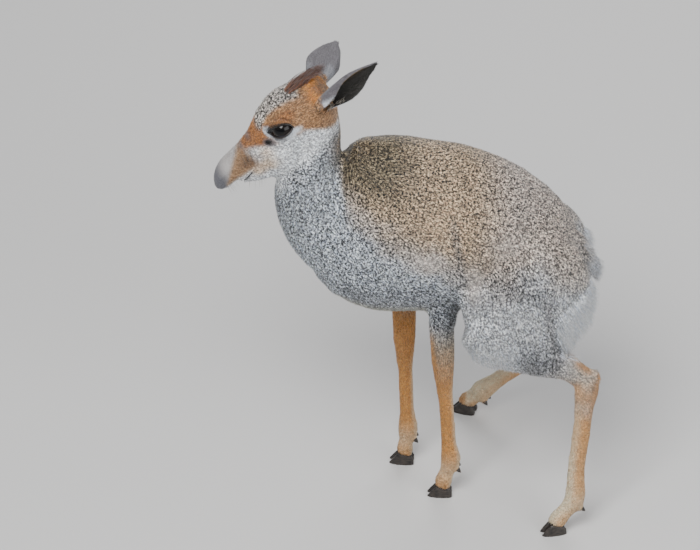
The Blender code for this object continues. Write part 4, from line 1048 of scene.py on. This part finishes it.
def coat_piece(name, chosen, density, way, middle=None, seed=1):
    """The tufts of one piece of the coat. A tuft leaves its root along the
    coat's lie, turned aside a little by a slow ripple and by chance; its tip is
    its length away and lifted by rise * length."""
    draw = np.random.default_rng(seed)
    face, share = roots(chosen, density, draw)
    keep = at_roots(bald[:, None], face, share)[:, 0] < 0.5
    thin = at_roots(bare_nose[:, None], face, share)[:, 0] * 0.6 > draw.random(len(face))
    face, share = face[keep & ~thin], share[keep & ~thin]
    root = at_roots(skin_points, face, share)
    normal = unit(at_roots(skin_ways, face, share))
    lay = at_roots(fields, face, share)
    colours = at_roots(coat, face, share)
    extra = at_roots(np.stack([short, puffed, bare_nose, speckled], axis=1), face, share)
    run = lay[:, :3] + 1e-6
    run = unit(run - normal * (run * normal).sum(axis=1, keepdims=True))
    side = np.cross(normal, run)
    swing = 0.176 * ripple(root, 26, seed + 50) + draw.normal(0, 0.16, len(root))
    run = unit(run * np.cos(swing)[:, None] + side * np.sin(swing)[:, None])
    side = np.cross(normal, run)
    chance = draw.random((len(root), 4))
    length = lay[:, 4] * extra[:, 0] * (0.72 + 0.5 * chance[:, 0]) * (1 + 0.9 * extra[:, 1])
    length = length * (1 - 0.45 * extra[:, 2])
    width = lay[:, 5] * (0.75 + 0.5 * chance[:, 1]) * (0.6 + 0.4 * extra[:, 0])
    rise = lay[:, 6] * (0.7 + 0.7 * chance[:, 2]) * (1 + 1.2 * extra[:, 1])
    tip = root + run * length[:, None] + normal * (length * 0.86 * rise)[:, None]
    tip += side * (length * 0.14 * (chance[:, 3] - 0.5))[:, None]
    half = side * (width / 2)[:, None]
    heel = root - normal * 0.25
    points = np.stack([heel - half, heel + half, root + run * 0.5 + normal * (width * 0.5)[:, None], tip], axis=1)
    count = len(root)
    faces = (np.arange(count)[:, None, None] * 4 + TUFT_FACES).reshape(-1, 3)
    made = surface(name, points.reshape(-1, 3), faces)

    pick = draw.random(count)
    light = pick < colours[:, 9]
    dark = pick > 1 - colours[:, 10]
    own = np.where(light[:, None], colours[:, 0:3], np.where(dark[:, None], colours[:, 6:9], colours[:, 3:6]))
    # The hair's grain comes mostly from the specks, so tufts differ by 60%.
    average = colours[:, 0:3] * colours[:, 9:10] + colours[:, 6:9] * colours[:, 10:11]
    average = average + colours[:, 3:6] * (1 - colours[:, 9:10] - colours[:, 10:11])
    own = (average + (own - average) * 0.60) * draw.uniform(0.86, 1.12, (count, 1))
    # Each tuft is dark at its root corners and light at its tip: the hair's own banding, with painted shade at the root
    # where the tufts cover each other.
    root_shade_and_bands = np.array([0.58, 0.58, 0.68, 1.18])
    paint_points(made.data, "markings", (own[:, None] * root_shade_and_bands[:, None]).reshape(-1, 3))
    paint_points(made.data, "pepper", np.repeat(extra[:, 3], 12).reshape(-1, 3))

    flat = unwrapped(root, way, middle)
    patch = flat[:, None] + TUFT_PATCH
    layer = made.data.uv_layers.new(name="OFBake")
    layer.data.foreach_set("uv", patch.reshape(-1, 2)[faces.ravel()].astype(np.float32).ravel())
    made.data.materials.append(hair_paint)
    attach(made, "root")


def faces_of(*words):
    """The faces whose flesh has one of the words in its name."""
    chosen = np.array([*[any(word in name for word in words) for name in HIDE_NODES], False])
    return chosen[face_name]


left_half = face_middle[:, 0] > 14.46
fore_half = face_middle[:, 1] < 12
skull_way = SKULL[0]
of_face = faces_of("head", "muzzle", "lower_jaw")
of_body = faces_of("trunk")
coat_piece("left_face_coat", of_face & left_half, 2.5, skull_way, in_head(60.0, 0.0), 11)
coat_piece("right_face_coat", of_face & ~left_half, 2.5, skull_way, in_head(60.0, 0.0), 12)
coat_piece("neck_coat", faces_of("neck"), 1.35, (0, 0, -1), (14.46, -92.0, 350.0), 13)
body_middle = (14.46, 30.0, 310.0)
coat_piece("left_shoulder_coat", of_body & left_half & fore_half, 1.2, (0, 1, 0), body_middle, 14)
coat_piece("right_shoulder_coat", of_body & ~left_half & fore_half, 1.2, (0, 1, 0), body_middle, 15)
coat_piece("left_flank_coat", of_body & left_half & ~fore_half, 1.2, (0, 1, 0), body_middle, 16)
coat_piece("right_flank_coat", of_body & ~left_half & ~fore_half, 1.2, (0, 1, 0), body_middle, 17)
coat_piece("tail_coat", faces_of("tail"), 2.6, (0, 0, -1), None, 18)
for number, side in enumerate(SIDES):
    for offset, (piece, finish, words, density) in enumerate((
        ("thigh_coat", "grizzled_back", (f"{side}_thigh",), 1.2),
        ("foreleg_coat", "tan_leg", (f"{side}_forearm", f"{side}_fore_cannon", f"{side}_fore_pastern"), 1.45),
        ("hindleg_coat", "tan_leg", (f"{side}_gaskin", f"{side}_hind_cannon", f"{side}_hind_pastern"), 1.45),
    )):
        seed = 20 + 4 * number + offset
        coat_piece(f"{side}_{piece}", faces_of(*words), density, (0, 0, -1), None, seed)
    root, axis, back, across, length = ear_frame(side)
    coat_piece(f"{side}_ear_coat", face_ear == SIDES[side], 1.1, axis, None, 40 + number)

# ------------------------------------------- crest, whiskers and loose hair
# The crest is a brush of long stiff hair that lies back over the crown. Fine
# long hairs also stand on lips, chin, brow, ears, tail and haunches.


def drawn_lines(start, pull, end, steps):
    """Points of each hair: the curve (1 - t)^2 start + 2 t (1 - t) pull + t^2 end."""
    t = np.linspace(0, 1, steps)[None, :, None]
    return (1 - t) ** 2 * start[:, None] + 2 * t * (1 - t) * pull[:, None] + t**2 * end[:, None]


def hairs(name, lines, width, first_colour, last_colour, seed, way=(0, 0, 1)):
    """Closed three-sided hairs along the lines, width * (1 - t^2) wide, with
    the colour going from the first to the last along each."""
    draw = np.random.default_rng(seed)
    count, steps, _ = lines.shape
    ahead = unit(np.gradient(lines, axis=1))
    side = unit(np.cross(ahead, unit(draw.normal(size=(count, 1, 3)))))
    over = np.cross(ahead, side)
    t = np.linspace(0, 1, steps)[None, :, None]
    half = np.asarray(width).reshape(-1, 1, 1) / 2 * (1 - 0.94 * t**2)
    corner = np.array([0, 2 * math.pi / 3, 4 * math.pi / 3])
    points = lines[:, :, None] + half[..., None] * (
        np.cos(corner)[:, None] * side[:, :, None] + np.sin(corner)[:, None] * over[:, :, None]
    )
    number = np.arange(steps * 3).reshape(steps, 3)
    low, high = number[:-1], number[1:]
    strip = [
        np.stack([low, np.roll(low, -1, 1), high], -1).reshape(-1, 3),
        np.stack([np.roll(low, -1, 1), np.roll(high, -1, 1), high], -1).reshape(-1, 3),
        number[:1, ::-1],
        number[-1:],
    ]
    one = np.concatenate(strip)
    faces = (np.arange(count)[:, None, None] * steps * 3 + one).reshape(-1, 3)
    made = surface(name, points.reshape(-1, 3), faces)
    shade = draw.uniform(0.75, 1.2, (count, 1, 1))
    first, last = np.asarray(first_colour), np.asarray(last_colour)
    colours = (first.reshape(-1, 1, 3) * (1 - t) + last.reshape(-1, 1, 3) * t) * shade
    paint_points(made.data, "markings", np.repeat(colours.reshape(-1, 3), 3, axis=0))
    paint_points(made.data, "pepper", np.zeros((points.size // 3, 3)))
    flat = unwrapped(lines[:, 0], way)
    patch = np.stack([np.tile([-0.5, 0.5, 0.0], (steps, 1)), np.repeat(np.linspace(-0.5, 0.5, steps)[:, None], 3, 1)], -1)
    patch = flat[:, None] + patch.reshape(-1, 2) * 0.003
    layer = made.data.uv_layers.new(name="OFBake")
    layer.data.foreach_set("uv", patch.reshape(-1, 2)[faces.ravel()].astype(np.float32).ravel())
    made.data.materials.append(hair_paint)
    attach(made, "root")
    return made


draw = np.random.default_rng(71)
count = 900
share = draw.random(count)
start_along = 19 - 26 * share
start_aside = draw.normal(0, 3.9, count) * (1 - 0.25 * share)
height = np.interp(start_along, (-8, -4, 2, 13, 20), (26, 28, 32.0, 34.8, 35.6))
start = in_head(start_along, height - np.abs(start_aside) * 0.12, start_aside)
reach = 0.3 + 0.7 * draw.random(count) ** 1.25
tip_along = start_along + (-32.5 - start_along) * reach
tip_aside = start_aside * (1 - 0.2 * reach) + draw.normal(0, 3.2, count)
tip_up = np.interp(tip_along, (-33, -18, -6, 6, 18), (28.5, 32.5, 36.0, 37.8, 36.4)) + draw.normal(0, 1.6, count) - 0.16 * np.abs(tip_aside)
end = in_head(tip_along, tip_up, tip_aside)
pull = in_head(start_along * 0.62 + tip_along * 0.38, 36.0 + draw.normal(0, 1.4, count), start_aside * 0.95)
dark = (draw.random(count) < 0.45)[:, None]
first = np.where(dark, tint(84, 50, 36), tint(150, 92, 56))
last = np.where(dark, tint(30, 23, 26), tint(104, 80, 74))
crest = hairs("crest_hair", drawn_lines(start, pull, end, 6), draw.uniform(0.5, 0.95, count), first, last, 72, SKULL[0])
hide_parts("crest")

# Whiskers on the upper lip and chin, lashes on the upper lids.
whisker_start, whisker_way = [], []
for side, sign in SIDES.items():
    middle, turn = eye_frame(side)
    chosen = np.flatnonzero((of_head > 0.9) & (np.sign(aside) == sign) & (along > 112) & (along < 131) & (up > -6) & (up < 4))
    chosen = draw.choice(chosen, 12, replace=False)
    whisker_start.append(skin_points[chosen])
    whisker_way.append(unit(skin_ways[chosen] * 0.8 + (0, 0.5, -0.35)) * draw.uniform(7, 13, (12, 1)))
    chosen = np.flatnonzero((of_head > 0.9) & (np.sign(aside) == sign) & (along > 96) & (along < 114) & (up < -14))
    chosen = draw.choice(chosen, 7, replace=False)
    whisker_start.append(skin_points[chosen])
    whisker_way.append(unit(skin_ways[chosen] + (0, -0.2, -0.6)) * draw.uniform(5, 9, (7, 1)))
start, way = np.concatenate(whisker_start), np.concatenate(whisker_way)
pull = start + way * 0.5
end = start + way + (0, 0, -1.6)
hairs("whiskers", drawn_lines(start, pull, end, 6), 0.24, tint(96, 90, 86), tint(140, 134, 128), 73, SKULL[0])

lash_start, lash_pull, lash_end = [], [], []
for side in SIDES:
    middle, turn = eye_frame(side)
    pick = np.flatnonzero((np.sin(angle) > 0.35))
    path = lid_edge[side][pick] + (0, 0.3, 0.5)
    fan = np.stack([path[:, 0] * 0.22, np.full(len(pick), 2.4), np.full(len(pick), 2.6)], 1)
    lash_start.append(middle + path @ turn)
    lash_pull.append(middle + (path + fan * (0.6, 0.3, 0.9)) @ turn)
    lash_end.append(middle + (path + fan * (1.5, 1.3, 1.15)) @ turn)
hairs("lashes", drawn_lines(*(np.concatenate(v) for v in (lash_start, lash_pull, lash_end)), 6), 0.3, tint(20, 16, 16), tint(30, 24, 22), 74, SKULL[0])

# Long pale hair lines the front of each ear's cup and fills its root.
for side, sign in SIDES.items():
    count = 80
    up_ear = draw.uniform(0.04, 0.30, count)
    turn_share = draw.uniform(0.75, 0.99, count) * draw.choice([-1, 1], count)
    root, axis, back, across, length = ear_frame(side)
    start = ear_leaf(side, up_ear, turn_share, np.full(count, -EAR_THICK / 2))
    towards_middle = -np.sign(turn_share)[:, None] * across
    long = draw.uniform(3, 7, (count, 1)) * (1.15 - up_ear[:, None])
    pull = start + axis * long * 0.5 + towards_middle * long * 0.3 - back * long * 0.12
    end = start + axis * long * 0.95 + towards_middle * long * 0.55 + draw.normal(0, 0.5, (count, 3))
    hairs(f"{side}_ear_fringe", drawn_lines(start, pull, end, 5), 0.5, tint(150, 138, 120), tint(204, 196, 186), 75 + (sign > 0), axis)

# Stiff hair stands out from the tail, and soft white hair from the haunches,
# blue-grey at its roots as painted shade among the white hairs.
for name, field, count, low, high, lift, colours in (
    ("tail_bristles", of_tail > 0.55, 300, 8, 14, 0.50, ((58, 52, 52), (222, 222, 224))),
    ("haunch_down", puff > 0.45, 1500, 8, 14, 0.42, ((206, 215, 232), (254, 255, 255))),
    ("stifle_down", (fringe > 0.5) & (x > 0), 160, 4, 7, 0.34, ((206, 200, 186), (238, 236, 228))),
):
    chosen = draw.choice(np.flatnonzero(field), count)
    start = skin_points[chosen] + draw.normal(0, 0.6, (count, 3)) - skin_ways[chosen] * 0.4
    run = unit(fields[chosen, :3] - skin_ways[chosen] * (fields[chosen, :3] * skin_ways[chosen]).sum(1, keepdims=True))
    long = draw.uniform(low, high, (count, 1))
    aim = unit(run + skin_ways[chosen] * lift * draw.uniform(0.6, 1.3, (count, 1)) + draw.normal(0, 0.12, (count, 3)))
    pull = start + unit(run * 0.6 + skin_ways[chosen] * 0.7) * long * 0.45
    end = start + aim * long
    hairs(name, drawn_lines(start, pull, end, 5), draw.uniform(0.7, 1.1, count), tint(*colours[0]), tint(*colours[1]), 80)

# ---------------------------------------------------------------- the studio
CAMERA_TARGET = (0.01446, -0.05706, 0.248)
CAMERA_RISE = math.radians(34)
CAMERA_AWAY = 16.0
eye_point = bpy.data.cameras.new("camera")
eye_point.lens = 822.8
eye_point.sensor_width = 36.0
eye_point.clip_end = 60.0
camera = bpy.data.objects.new("camera", eye_point)
bpy.context.scene.collection.objects.link(camera)
camera.location = (
    CAMERA_TARGET[0] + CAMERA_AWAY * math.cos(CAMERA_RISE),
    CAMERA_TARGET[1],
    CAMERA_TARGET[2] + CAMERA_AWAY * math.sin(CAMERA_RISE),
)
camera.rotation_euler = (math.pi / 2 - CAMERA_RISE, 0, math.pi / 2)
bpy.context.scene.camera = camera

corner = 6000.0
floor = surface(
    "floor",
    np.array([(-corner, -corner, 0), (corner, -corner, 0), (corner, corner, 0), (-corner, corner, 0)]),
    np.array([[0, 1, 2, 3]]),
)
floor_paint = bpy.data.materials.new("pale_floor")
floor_paint.use_nodes = True
floor_paint.node_tree.nodes["Principled BSDF"].inputs["Base Color"].default_value = (0.62, 0.61, 0.60, 1)
floor_paint.node_tree.nodes["Principled BSDF"].inputs["Roughness"].default_value = 0.8
floor.data.materials.append(floor_paint)

world = bpy.data.worlds.new("soft_room")
world.use_nodes = True
world.node_tree.nodes["Background"].inputs["Color"].default_value = (0.92, 0.95, 1.0, 1)
world.node_tree.nodes["Background"].inputs["Strength"].default_value = 0.42
bpy.context.scene.world = world


def soft_light(name, place, target, size, power, colour):
    """A square area light at place, turned to its target."""
    lamp = bpy.data.lights.new(name, "AREA")
    lamp.size = size
    lamp.energy = power
    lamp.color = colour
    made = bpy.data.objects.new(name, lamp)
    bpy.context.scene.collection.objects.link(made)
    way = np.array(target) - np.array(place)
    flat = math.hypot(way[0], way[1])
    made.location = place
    made.rotation_euler = (math.pi / 2 + math.atan2(way[2], flat), 0, math.atan2(-way[0], way[1]))
    return made


soft_light("key", (1.7, -0.5, 2.5), (0, 0, 0.25), 1.3, 88, (1.0, 1.0, 0.99))
soft_light("fill", (1.9, 1.9, 1.3), (0, 0, 0.25), 1.6, 34, (0.96, 0.98, 1.0))
soft_light("back", (-1.8, 0.6, 1.8), (0, 0, 0.3), 1.4, 26, (1.0, 1.0, 1.0))
